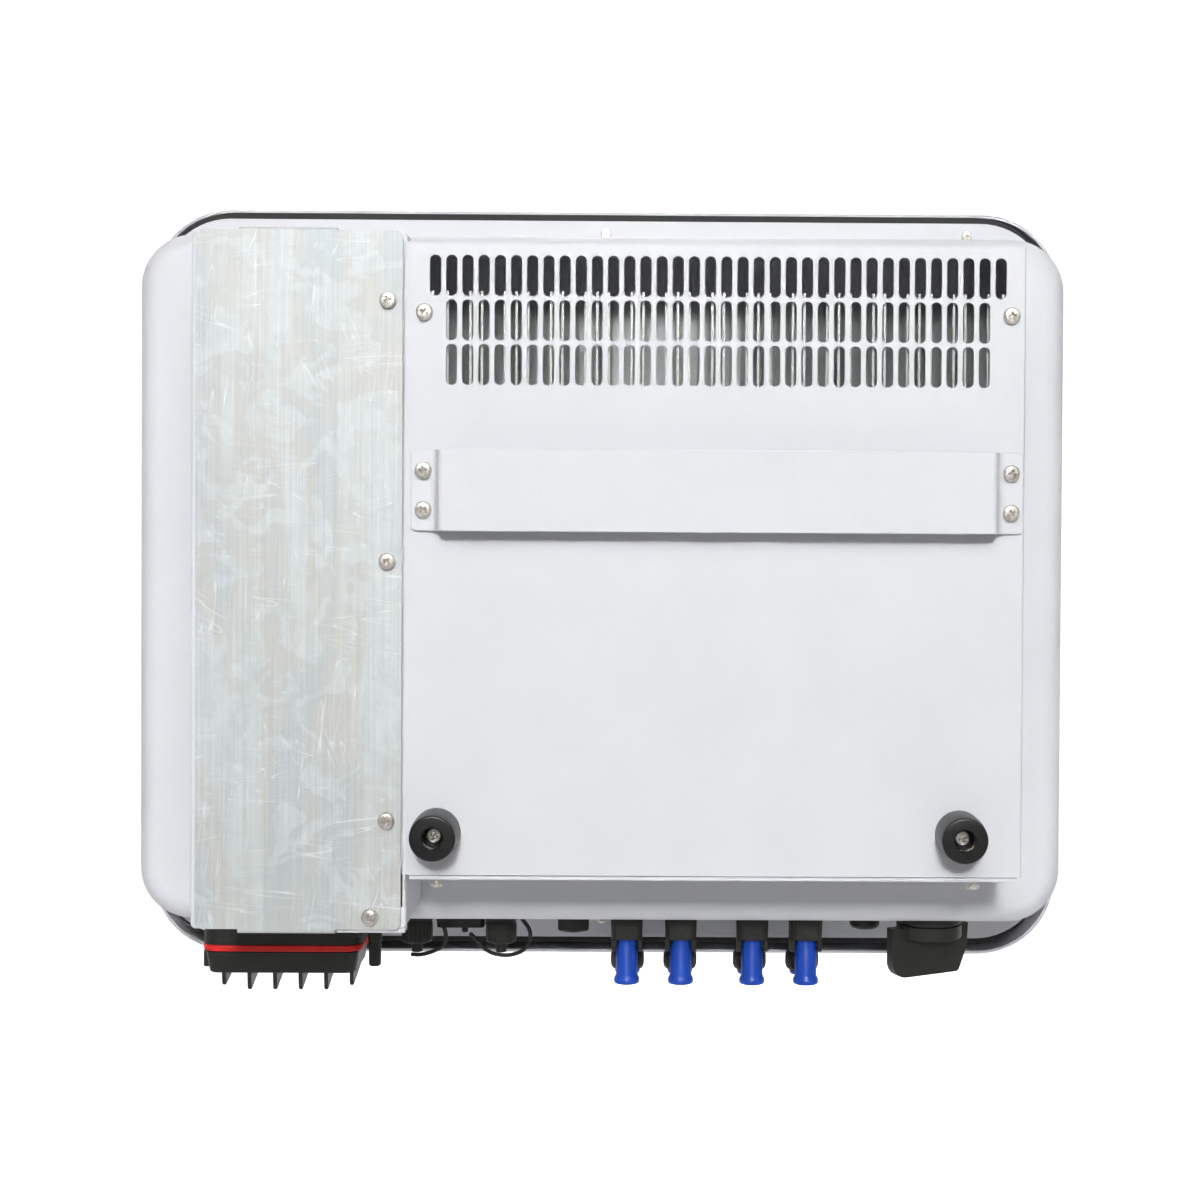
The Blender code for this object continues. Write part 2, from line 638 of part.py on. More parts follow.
def make_com_ports():
    for number, x in enumerate(COM_X, 1):
        socket = ((0.0, WALL_Z), (0.0089, WALL_Z), (0.0089, -0.2352), (0.0065, -0.2352),
                  (0.0065, -0.2460), (0.0, -0.2460))
        turned('com_socket_%d' % number, socket, (x, COM_Y, 0.0), 'black_plastic', 16)
        cap = ((0.0, -0.2465), (0.0070, -0.2465), (0.0070, -0.2356), (0.0082, -0.2356), (0.0085, -0.2366),
               (0.0085, -0.2480), (0.0072, -0.2495), (0.0030, -0.2498), (0.0030, -0.2530), (0.0, -0.2530))
        turned('com_cap_%d' % number, cap, (x, COM_Y, 0.0), 'black_plastic', 16)
    y = COM_Y + 0.001
    strap('cap_strap_1', ((0.1640, y, -0.2546), (0.1590, y, -0.2547), (0.1547, y, -0.2538),
                          (0.1500, y + 0.001, -0.2518), (0.1462, y + 0.002, -0.2490),
                          (0.1446, y + 0.003, -0.2450), (0.1450, y + 0.004, -0.2400),
                          (0.1475, y + 0.005, -0.2350), (0.1500, y + 0.006, -0.2310)), 'black_rubber')
    strap('cap_strap_2', ((0.1310, y + 0.004, -0.2420), (0.1262, y + 0.002, -0.2474),
                          (0.1216, y, -0.2525), (0.1144, y, -0.2547), (0.1058, y, -0.2538),
                          (0.1012, y + 0.001, -0.2508), (0.0985, y + 0.002, -0.2450),
                          (0.0985, y + 0.004, -0.2400), (0.1015, y + 0.005, -0.2350),
                          (0.1040, y + 0.006, -0.2310)), 'black_rubber')


def make_small_ports():
    cover = block('port_cover', (0.1234, -0.1430, -0.2408), (0.1512, -0.1195, WALL_Z), 'black_plastic',
                  0.002, 2, 2)
    join(cover, turned('nub', ((0.0, -0.2400), (0.0017, -0.2400), (0.0017, -0.2436), (0.0, -0.2436)),
                       (0.1350, -0.1230, 0.0), None, 8))
    valve = ((0.0, WALL_Z), (0.00935, WALL_Z), (0.00935, -0.2385), (0.0080, -0.2403), (0.0, -0.2408))
    turned('breather_valve', valve, (0.0745, COM_Y, 0.0), 'black_plastic', 6)
    plug = ((0.0, WALL_Z), (0.0084, WALL_Z), (0.0084, -0.2410), (0.0072, -0.2430), (0.0032, -0.2432),
            (0.0032, -0.2415), (0.0, -0.2415))
    turned('blank_plug', plug, (-0.0884, -0.137, 0.0), 'grey_plastic', 16)


def make_dc_switch():
    x, y = KNOB_PLACE
    base = ((0.0, WALL_Z), (0.0176, WALL_Z), (0.0178, -0.2335), (0.0172, -0.2345), (0.0, -0.2345))
    turned('dc_switch_base', base, (x, y, 0.0), 'black_plastic', 24)
    hub = ((0.0, -0.2348), (0.0179, -0.2348), (0.0179, -0.2414), (0.0172, -0.2421), (0.0, -0.2421))
    knob = turned('dc_switch_knob', hub, (x, y, 0.0), 'grey_plastic', 24)
    knob.rotation_euler = (0.0, 0.0, KNOB_TURN)
    outline = [(0.0250, -0.2360), (0.0248, -0.2545), (0.0235, -0.2595), (0.0200, -0.2625),
               (0.0150, -0.2632), (-0.0165, -0.2626), (-0.0182, -0.2610), (-0.0226, -0.2495),
               (-0.0236, -0.2360)]
    grip = sheet_outline('knob_grip', outline, -0.00325, 0.00325, None, 'Y')
    grip.location = (x, y, 0.0)
    grip.rotation_euler = (pi / 2, 0.0, KNOB_TURN)
    join(knob, grip)


def make_inside():
    board = block('main_board', (-0.150, -0.1200, -0.190), (0.270, -0.1184, 0.100), 'circuit_board')
    rear = PAN_REAR - PAN_WALL - GAP
    for x in (-0.140, 0.260):
        for z in (-0.180, 0.090):
            join(board, block('standoff', (x - 0.003, -0.1190, z - 0.003),
                              (x + 0.003, rear, z + 0.003), None))
    block('power_module', (-0.090, -0.1000, -0.070), (0.090, PAN_REAR, 0.030), 'potting', 0.002, 1, 1)
    bank = block('capacitor_bank', (0.090, -0.1240, -0.150), (0.240, -0.1203, -0.040), 'black_plastic')
    for x in (0.115, 0.165, 0.215):
        for z in (-0.122, -0.068):
            join(bank, hole((x, -0.1430, z), 0.0175, 0.042, 'Y', 14))


def main():
    start()
    make_housing()
    make_front_cover(make_band())
    make_vent_cover()
    make_bottom_plate()
    make_heatsink()
    make_bracket()
    make_vent_screws()
    make_feet()
    make_inductor_box()
    make_ac_connector()
    make_pv_sockets()
    make_com_ports()
    make_small_ports()
    make_dc_switch()
    make_inside()


main()
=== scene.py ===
from math import cos, pi, radians, sin

import bmesh
import bpy
from mathutils import Matrix, Vector


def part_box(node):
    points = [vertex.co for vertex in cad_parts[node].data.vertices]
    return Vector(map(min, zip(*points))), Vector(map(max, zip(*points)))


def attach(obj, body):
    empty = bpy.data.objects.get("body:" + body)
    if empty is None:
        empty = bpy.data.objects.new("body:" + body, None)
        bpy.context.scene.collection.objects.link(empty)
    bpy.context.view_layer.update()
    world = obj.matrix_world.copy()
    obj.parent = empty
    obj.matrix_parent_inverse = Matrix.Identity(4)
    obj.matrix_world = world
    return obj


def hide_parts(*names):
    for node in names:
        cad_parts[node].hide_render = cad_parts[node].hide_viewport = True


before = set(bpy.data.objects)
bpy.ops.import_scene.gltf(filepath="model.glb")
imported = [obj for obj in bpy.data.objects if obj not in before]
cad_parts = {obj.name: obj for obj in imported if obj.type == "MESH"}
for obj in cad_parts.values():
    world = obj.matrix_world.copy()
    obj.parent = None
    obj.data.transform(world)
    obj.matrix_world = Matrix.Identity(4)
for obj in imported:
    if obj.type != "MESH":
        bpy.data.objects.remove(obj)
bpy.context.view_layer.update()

# The inverter hangs on a wall: +Y is the wall side and the front cover faces -Y.
# Lengths are in metres, and each piece takes its place from the box of its CAD node.
touch = 0.0003    # clearance between pieces that meet


def deselectAll():
    bpy.ops.object.select_all(action="DESELECT")


def makeActive(obj):
    deselectAll()
    bpy.context.view_layer.objects.active = obj
    obj.select_set(True)


def bakePlace(obj):
    makeActive(obj)
    bpy.ops.object.transform_apply(location=True, rotation=True, scale=True)


def nameNew(name):
    obj = bpy.context.object
    obj.name = obj.data.name = name
    bakePlace(obj)
    return obj


def addBox(name, low, high):
    deselectAll()
    middle = [(a + b) / 2 for a, b in zip(low, high)]
    size = [b - a for a, b in zip(low, high)]
    bpy.ops.mesh.primitive_cube_add(size=1, location=middle, scale=size)
    return nameNew(name)


def addPlane(name, middle, size, upright=True):
    # size runs across and along; an upright plane faces +Y
    deselectAll()
    bpy.ops.mesh.primitive_plane_add(size=1, location=middle, rotation=(-pi / 2 if upright else 0, 0, 0))
    bpy.context.object.scale = (*size, 1)
    return nameNew(name)


def openMesh(obj, kind):
    makeActive(obj)
    bpy.ops.object.mode_set(mode="EDIT")
    bpy.ops.mesh.select_mode(type=kind)
    bpy.ops.mesh.select_all(action="DESELECT")
    return bmesh.from_edit_mesh(obj.data)


def closeMesh():
    bpy.ops.object.mode_set(mode="OBJECT")


def pickFaces(obj, test):
    # test takes a face's middle and its normal
    mesh = openMesh(obj, "FACE")
    for face in mesh.faces:
        face.select_set(test(face.calc_center_median(), face.normal))
    bmesh.update_edit_mesh(obj.data)


def pickEdges(obj, test):
    # test takes both ends of an edge
    mesh = openMesh(obj, "EDGE")
    for edge in mesh.edges:
        edge.select_set(test(edge.verts[0].co, edge.verts[1].co))
    bmesh.update_edit_mesh(obj.data)


def alongAxis(axis):
    # a test for the edges that run along one axis
    others = [k for k in range(3) if k != axis]
    return lambda a, b: all(abs(a[k] - b[k]) < 0.00001 for k in others)


def atPlace(axis, place):
    # a test for the edges that lie in one plane across an axis
    return lambda a, b: abs(a[axis] - place) < 0.00002 and abs(b[axis] - place) < 0.00002


def roundEdges(obj, test, radius, steps):
    pickEdges(obj, test)
    bpy.ops.mesh.bevel(offset=radius, segments=steps, profile=0.5, affect="EDGES")
    closeMesh()


def removeFaces(obj, test):
    pickFaces(obj, test)
    bpy.ops.mesh.delete(type="FACE")
    closeMesh()


def roundedBox(name, low, high, corner, axis=1, steps=12):
    obj = addBox(name, low, high)
    roundEdges(obj, alongAxis(axis), corner, steps)
    return obj


def modify(obj, kind, **settings):
    step = obj.modifiers.new(kind.title(), kind)
    for key, value in settings.items():
        setattr(step, key, value)
    makeActive(obj)
    bpy.ops.object.modifier_apply(modifier=step.name)


def combine(obj, other, operation):
    modify(obj, "BOOLEAN", object=other, operation=operation, solver="EXACT")
    bpy.data.objects.remove(other, do_unlink=True)


def cutWith(obj, cutter):
    combine(obj, cutter, "DIFFERENCE")


def joinWith(obj, other):
    combine(obj, other, "UNION")


def smooth(obj, angle=32):
    makeActive(obj)
    bpy.ops.object.shade_smooth_by_angle(angle=radians(angle))


def softenEdges(obj, width, steps=2, angle=38):
    # breaks every sharp edge, then shades the rest smooth
    modify(obj, "WELD", merge_threshold=0.000002)
    modify(obj, "BEVEL", width=width, segments=steps, limit_method="ANGLE", angle_limit=radians(angle))
    smooth(obj)
    modify(obj, "WEIGHTED_NORMAL", keep_sharp=True, weight=100)


def addTurned(name, place, profile, sides=48, along="Z"):
    # profile of (radius, height above the place); every ring is extruded from the last, then scaled
    deselectAll()
    radius, height = profile[0]
    bpy.ops.mesh.primitive_circle_add(vertices=sides, radius=radius, fill_type="NGON",
                                      location=(0, 0, height))
    obj = nameNew(name)
    bpy.ops.object.mode_set(mode="EDIT")
    bpy.ops.mesh.select_mode(type="FACE")
    bpy.ops.mesh.select_all(action="SELECT")
    for newRadius, newHeight in profile[1:]:
        bpy.ops.mesh.extrude_region_move(
            TRANSFORM_OT_translate={"value": (0, 0, newHeight - height)})
        ratio = newRadius / radius
        bpy.ops.transform.resize(value=(ratio, ratio, 1), center_override=(0, 0, newHeight))
        radius, height = newRadius, newHeight
    bpy.ops.mesh.select_all(action="SELECT")
    bpy.ops.mesh.normals_make_consistent(inside=False)
    closeMesh()
    if along == "Y":
        obj.rotation_euler = (-pi / 2, 0, 0)
    obj.location = place
    bakePlace(obj)
    return obj


def shiftMesh(obj, shift, turn=0.0, axis="Z", about=(0, 0, 0)):
    middle = Matrix.Translation(about)
    turned = middle @ Matrix.Rotation(turn, 4, axis) @ middle.inverted()
    obj.data.transform(Matrix.Translation(shift) @ turned)
    return obj


def copyMesh(obj, name):
    # every copy has its own mesh
    other = obj.copy()
    other.data = obj.data.copy()
    other.name = other.data.name = name
    bpy.context.scene.collection.objects.link(other)
    return other


def settle(obj, material, body="casing", stands=()):
    # gives a finished piece its material, its body and the CAD nodes it stands for
    obj.data.materials.clear()
    obj.data.materials.append(material)
    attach(obj, body)
    if stands:
        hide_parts(*stands)
    return obj


def hexColour(code):
    # sRGB hex to linear
    parts = [int(code[k:k + 2], 16) / 255 for k in (1, 3, 5)]
    return (*[p / 12.92 if p <= 0.04045 else ((p + 0.055) / 1.055) ** 2.4 for p in parts], 1)


def addNode(tree, kind, settings=None):
    # a setting is a property, a socket's constant, or another node's output that is linked to the socket
    node = tree.nodes.new("ShaderNode" + kind)
    for key, value in (settings or {}).items():
        if key == "stops":
            for k, (place, tone) in enumerate(value):
                stops = node.color_ramp.elements
                stop = stops[k] if k < 2 else stops.new(place)
                stop.position = place
                stop.color = hexColour(tone)
        elif isinstance(value, bpy.types.NodeSocket):
            tree.links.new(value, node.inputs[key])
        elif isinstance(key, str) and hasattr(node, key):
            setattr(node, key, value)
        else:
            node.inputs[key].default_value = hexColour(value) if isinstance(value, str) else value
    return node.outputs[2] if kind == "Mix" else node.outputs[0]


def startMaterial(name, settings):
    material = bpy.data.materials.new(name)
    material.use_nodes = True
    shader = material.node_tree.nodes["Principled BSDF"]
    for key, value in settings.items():
        shader.inputs[key].default_value = hexColour(value) if isinstance(value, str) else value
    coords = material.node_tree.nodes.new("ShaderNodeTexCoord").outputs["Object"]
    return material, material.node_tree, shader, coords


def wire(tree, shader, **sockets):
    # links outputs to the shader's sockets, with _ for a space
    for key, source in sockets.items():
        tree.links.new(source, shader.inputs[key.replace("_", " ")])


def perMm(size):
    # the noise scale whose features are this many millimetres
    return 1000 / size


def addNoise(tree, coords, sizeMm, detail, **more):
    return addNode(tree, "TexNoise", {"Vector": coords, "Scale": perMm(sizeMm), "Detail": detail, **more})


def stretchedNoise(tree, coords, widthMm, lengthMm, detail=3, distortion=0.0):
    # noise drawn out along Z
    scale = (perMm(widthMm), perMm(widthMm), perMm(lengthMm))
    place = addNode(tree, "Mapping", {"Vector": coords, "Scale": scale})
    return addNode(tree, "TexNoise", {"Vector": place, "Scale": 1, "Detail": detail,
                                      "Distortion": distortion})


def remap(tree, value, fromLow=0.0, fromHigh=1.0, toLow=0.0, toHigh=1.0):
    return addNode(tree, "MapRange", {"Value": value, "From Min": fromLow, "From Max": fromHigh,
                                      "To Min": toLow, "To Max": toHigh})


def maths(tree, operation, *values):
    return addNode(tree, "Math", {"operation": operation, **dict(enumerate(values))})


def mixColours(tree, share, under, over, blend="MIX"):
    return addNode(tree, "Mix", {"data_type": "RGBA", "blend_type": blend, 0: share, 6: under, 7: over})


def colourRamp(tree, value, *stops):
    return addNode(tree, "ValToRGB", {"stops": stops, "Fac": value})


def addBump(tree, height, strength, distance):
    return addNode(tree, "Bump", {"Strength": strength, "Distance": distance, "Height": height})


powderCoat = {
    "paint": "#dcdde1", "greyer": "#d9dade", "peelMm": 1.5, "fineMm": 0.6, "peelHeight": 0.00010,
    "cloudMm": 45, "roughness": (0.42, 0.48),
}


def makePowderCoat():
    # polyester powder coat on sheet steel: a satin skin with orange-peel dimples and a little dust
    material, tree, shader, coords = startMaterial("powder_coated_steel", {"IOR": 1.5})
    peel = addNoise(tree, coords, powderCoat["peelMm"], 1.5)
    fine = addNoise(tree, coords, powderCoat["fineMm"], 1)
    cloud = addNoise(tree, coords, powderCoat["cloudMm"], 4, Roughness=0.6)
    tone = colourRamp(tree, cloud, (0.35, powderCoat["greyer"]), (0.60, powderCoat["paint"]))
    rough = remap(tree, cloud, 0, 1, *powderCoat["roughness"])
    bump = addBump(tree, maths(tree, "MULTIPLY_ADD", fine, 0.3, peel), 0.55, powderCoat["peelHeight"])
    wire(tree, shader, Base_Color=tone, Roughness=rough, Normal=bump)
    return material


rolledSheet = {
    "bright": "#cacece", "grey": "#bec4c6", "warm": "#c6c6c2", "haze": "#d2d7d8", "smudge": "#b4babb",
    "grainMm": 0.7, "bandMm": 26, "hazeMm": 22, "smudgeMm": 9, "lineHeight": 0.00003,
    "hazeShare": 0.6, "smudgeShare": 0.35, "scratchShare": 0.4, "roughness": (0.58, 0.66),
    # angle from upright, width and length in mm, share of the sheet that is marked
    "scratches": ((6, 0.5, 90, 0.50), (82, 0.4, 70, 0.50), (-64, 0.4, 60, 0.46), (96, 0.5, 80, 0.48),
                  (-18, 0.5, 80, 0.44)),
}


def addScratches(tree, coords, number, angle, widthMm, lengthMm, cover):
    # thin lines where a long noise crosses its middle value, held inside the patches of a second noise
    turned = addNode(tree, "Mapping", {"Vector": coords, "Rotation": (0, radians(angle), 0),
                                       "Location": (number, 0, 2 * number)})
    line = stretchedNoise(tree, turned, widthMm * 9, lengthMm, 0)
    away = maths(tree, "ABSOLUTE", maths(tree, "SUBTRACT", line, 0.5))
    thin = remap(tree, away, 0, 0.012, 1, 0)
    patch = remap(tree, addNoise(tree, turned, 30, 3), 1 - cover, 1.1 - cover)
    return maths(tree, "MULTIPLY", thin, patch)


def makeRolledSheet():
    # mill-finish aluminium sheet: drawn grain up and down, handling scratches and hazy wipe marks
    material, tree, shader, coords = startMaterial("mill_finish_aluminium", {"Metallic": 0.6})
    grain = stretchedNoise(tree, coords, rolledSheet["grainMm"], 70, 4)
    band = stretchedNoise(tree, coords, rolledSheet["bandMm"], 160, 3, 0.8)
    tone = colourRamp(tree, band, (0.36, rolledSheet["grey"]), (0.50, rolledSheet["warm"]),
                      (0.60, rolledSheet["bright"]))
    smear = addNoise(tree, coords, rolledSheet["hazeMm"], 5, Distortion=1.4)
    haze = remap(tree, smear, 0.52, 0.58, 0, rolledSheet["hazeShare"])
    tone = mixColours(tree, haze, tone, rolledSheet["haze"])
    blot = addNoise(tree, coords, rolledSheet["smudgeMm"], 6, Roughness=0.7)
    smudge = remap(tree, blot, 0.48, 0.66, 0, rolledSheet["smudgeShare"])
    tone = mixColours(tree, smudge, tone, rolledSheet["smudge"])
    streak = remap(tree, grain, 0.3, 0.7, 0.91, 1.05)
    tone = mixColours(tree, 1.0, tone, streak, "MULTIPLY")
    marks = None
    for number, scratch in enumerate(rolledSheet["scratches"], 1):
        lines = addScratches(tree, coords, number, *scratch)
        marks = lines if marks is None else maths(tree, "MAXIMUM", marks, lines)
    shown = maths(tree, "MULTIPLY", marks, rolledSheet["scratchShare"])
    tone = mixColours(tree, shown, tone, "#ffffff")
    rough = remap(tree, smear, 0.4, 0.62, *rolledSheet["roughness"])
    bump = addBump(tree, maths(tree, "MULTIPLY_ADD", marks, -0.5, grain), 0.45, rolledSheet["lineHeight"])
    wire(tree, shader, Base_Color=tone, Roughness=rough, Normal=bump)
    return material


extrusion = {
    "metal": "#f4f6f5", "dull": "#e8ecea", "tip": "#eceeed", "tipDepth": 0.0010, "lineMm": 0.5,
    "base": "#e6eaea", "baseAt": -0.0695,
}


def makeExtrusion():
    # extruded aluminium heatsink: die lines up and down, a dull oxide between the fins, bright sawn tips
    material, tree, shader, coords = startMaterial("extruded_aluminium", {})
    line = stretchedNoise(tree, coords, extrusion["lineMm"], 90, 3)
    stain = stretchedNoise(tree, coords, 5, 30, 3)
    tone = colourRamp(tree, stain, (0.35, extrusion["dull"]), (0.65, extrusion["metal"]))
    depth = addNode(tree, "SeparateXYZ", {"Vector": coords}).node.outputs["Y"]
    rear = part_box("heatsink")[1].y
    tip = remap(tree, depth, rear - extrusion["tipDepth"], rear - 0.0004)
    tone = mixColours(tree, tip, tone, extrusion["tip"])
    # 1 on the fins and 0 on the chalky base between them
    fin = remap(tree, depth, extrusion["baseAt"], extrusion["baseAt"] + 0.0015)
    tone = mixColours(tree, fin, extrusion["base"], tone)
    metal = remap(tree, fin, 0, 1, 0.1, 1.0)
    rough = maths(tree, "MULTIPLY_ADD", line, 0.12, remap(tree, fin, 0, 1, 0.62, 0.16))
    bump = addBump(tree, line, 0.4, 0.00004)
    wire(tree, shader, Base_Color=tone, Metallic=metal, Roughness=rough, Normal=bump)
    return material


def makeMoulded(name, colour, roughness, grainMm=0.4, relief=0.00004, wear="#3a3a37"):
    # moulded polymer: spark-eroded grain, and a little dust that lightens it in patches
    material, tree, shader, coords = startMaterial(name, {"IOR": 1.5})
    grain = addNoise(tree, coords, grainMm, 2)
    dust = addNoise(tree, coords, 14, 5, Roughness=0.65)
    tone = mixColours(tree, remap(tree, dust, 0.45, 0.75, 0, 0.45), colour, wear)
    rough = remap(tree, dust, 0, 1, roughness - 0.06, roughness + 0.10)
    bump = addBump(tree, grain, 0.5, relief)
    wire(tree, shader, Base_Color=tone, Roughness=rough, Normal=bump)
    return material


def makeNickel():
    # nickel-plated steel: bright and slightly warm, fine marks from the driver
    material, tree, shader, coords = startMaterial("nickel_plated_steel", {"Metallic": 1.0})
    stain = addNoise(tree, coords, 1.6, 3)
    tone = colourRamp(tree, stain, (0.35, "#cbc5bb"), (0.6, "#f4efe8"))
    rough = remap(tree, stain, 0, 1, 0.24, 0.40)
    bump = addBump(tree, stain, 0.3, 0.00003)
    wire(tree, shader, Base_Color=tone, Roughness=rough, Normal=bump)
    return material


def makeBoard():
    # glass-fibre circuit board: green lacquer over a faint pattern of tracks
    material, tree, shader, coords = startMaterial("circuit_board_laminate", {"IOR": 1.55, "Roughness": 0.35})
    place = addNode(tree, "Mapping", {"Vector": coords, "Rotation": (pi / 2, 0, 0)})
    tracks = addNode(tree, "TexBrick", {"Vector": place, "Scale": perMm(22), "Color1": "#0e4a25",
                                        "Color2": "#12562c", "Mortar": "#2a7a44", "Mortar Size": 0.03})
    wire(tree, shader, Base_Color=tracks)
    return material


def makeStage(name, colour, glow):
    # matt studio paper
    material, tree, shader, coords = startMaterial(name, {"Roughness": 0.9, "Emission Strength": glow})
    tone = colourRamp(tree, addNoise(tree, coords, 4, 2), (0.3, colour), (0.7, "#ffffff"))
    wire(tree, shader, Base_Color=tone, Emission_Color=tone)
    return material


paint = makePowderCoat()
sheetMetal = makeRolledSheet()
finMetal = makeExtrusion()
nickel = makeNickel()
nylon = makeMoulded("glass_filled_nylon", "#171613", 0.46, wear="#2d2c26")
knobPlastic = makeMoulded("moulded_abs", "#20211c", 0.42, 0.5, 0.00005, "#34352d")
rubber = makeMoulded("epdm_rubber", "#0f0f0f", 0.62, 0.8, 0.00005, "#2b2b2b")
footRubber = makeMoulded("nitrile_rubber", "#0b0b0b", 0.34, 0.8, 0.00006, "#1c1c1c")
silicone = makeMoulded("silicone_rubber", "#e01e18", 0.45, 1.2, 0.00004, "#ee3a32")
polypropylene = makeMoulded("blue_polypropylene", "#0f45b4", 0.30, 1.5, 0.00003, "#1f58cc")
smokedAcrylic = makeMoulded("smoked_acrylic", "#08080a", 0.08, 3.0, 0.00001, "#101014")
resin = makeMoulded("potting_resin", "#17171b", 0.35, 4.0, 0.0002, "#25252a")
sleeve = makeMoulded("capacitor_sleeve", "#0d0d10", 0.3, 5.0, 0.00002, "#1b1b22")
board = makeBoard()
print("materials made")


casing = {
    # how far the flange stands out beyond the pan
    "rightStep": 0.0077, "leftStep": 0.0095, "topStep": 0.0202, "bottomStep": 0.0261,
    "corner": 0.028, "rearRound": 0.012, "flangeCorner": 0.040, "gasketCorner": 0.045,
    "sheet": 0.002, "edge": 0.0005, "windowMargin": 0.020, "cornerSteps": 14,
}


def makeCasing():
    low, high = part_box("housing")
    wall = casing["sheet"]
    panLow = Vector((low.x + casing["rightStep"], low.y, low.z + casing["bottomStep"]))
    panHigh = Vector((high.x - casing["leftStep"], high.y, high.z - casing["topStep"]))
    pan = roundedBox("casing_pan", panLow, panHigh, casing["corner"], 1, casing["cornerSteps"])
    roundEdges(pan, atPlace(1, high.y), casing["rearRound"], 8)
    joinWith(pan, roundedBox("flange", low, (high.x, low.y + wall, high.z), casing["flangeCorner"], 1,
                              casing["cornerSteps"]))
    inside = Vector((wall, wall, wall))
    room = roundedBox("room", panLow + inside - Vector((0, 0.010, 0)), panHigh - inside,
                      casing["corner"] - wall, 1, casing["cornerSteps"])
    roundEdges(room, atPlace(1, high.y - wall), casing["rearRound"] - wall, 8)
    cutWith(pan, room)
    moduleLow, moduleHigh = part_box("power_module")
    margin = casing["windowMargin"]
    cutWith(pan, addBox("sink_window", (moduleLow.x - margin, high.y - margin, moduleLow.z - margin),
                        (moduleHigh.x + margin, high.y + margin, moduleHigh.z + margin)))
    softenEdges(pan, casing["edge"])
    settle(pan, paint, stands=["housing"])
    return panLow, panHigh


def makeGasket(panLow, panHigh):
    low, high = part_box("cover_gasket")
    band = roundedBox("gasket_band", low, high, casing["gasketCorner"], 1, casing["cornerSteps"])
    cutWith(band, roundedBox("gasket_opening", (panLow.x, low.y - 0.01, panLow.z),
                             (panHigh.x, high.y + 0.01, panHigh.z),
                             casing["corner"], 1, casing["cornerSteps"]))
    softenEdges(band, 0.0006, 3)
    settle(band, rubber, stands=["cover_gasket"])


frontCover = {
    "corner": 0.045, "frontRound": 0.016, "rimRound": 0.003, "wall": 0.0025, "windowCorner": 0.006,
}


def makeFrontCover():
    low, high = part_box("front_cover")
    wall = frontCover["wall"]
    cover = roundedBox("front_shell", low, high, frontCover["corner"], 1, casing["cornerSteps"])
    roundEdges(cover, atPlace(1, low.y), frontCover["frontRound"], 8)
    roundEdges(cover, atPlace(1, high.y), frontCover["rimRound"], 4)
    roomLow = low + Vector((wall, wall, wall))
    room = roundedBox("cover_room", roomLow, (high.x - wall, high.y + 0.01, high.z - wall),
                      frontCover["corner"] - wall, 1, casing["cornerSteps"])
    roundEdges(room, atPlace(1, roomLow.y), frontCover["frontRound"] - wall, 8)
    cutWith(cover, room)
    paneLow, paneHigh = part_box("status_window")
    gap = Vector((touch, 0.01, touch))
    cutWith(cover, roundedBox("window_opening", paneLow - gap, paneHigh + gap,
                              frontCover["windowCorner"], 1, 8))
    softenEdges(cover, 0.0006, 3)
    settle(cover, paint, stands=["front_cover"])
    pane = roundedBox("window_pane", paneLow, paneHigh, frontCover["windowCorner"], 1, 8)
    softenEdges(pane, 0.0005)
    settle(pane, smokedAcrylic, stands=["status_window"])


ventCover = {
    "bend": 0.0042, "tightBend": 0.0014, "sheet": 0.0012, "rim": 0.00025, "lip": 0.0018,
    "slotPitch": 0.008, "slotWidth": 0.0056, "slotLength": 0.0203,
    "slotRows": ((0.0181, 36), (0.0401, 34), (0.0621, 34)),    # depth below the top edge, slots in the row
}


def makeSlots(name, width, length, depth, count, pitch, centre, axis=0):
    # a row of round-ended cutters, from one that is modelled and repeated
    slot = addBox(name, (centre[0] - width / 2, centre[1] - depth / 2, centre[2] - length / 2),
                  (centre[0] + width / 2, centre[1] + depth / 2, centre[2] + length / 2))
    roundEdges(slot, alongAxis(1), width / 2 * 0.999, 7)
    step = [0, 0, 0]
    step[axis] = pitch
    modify(slot, "ARRAY", count=count, use_relative_offset=False, use_constant_offset=True,
           constant_offset_displace=step)
    step[axis] = -pitch * (count - 1) / 2
    shiftMesh(slot, step)
    return slot


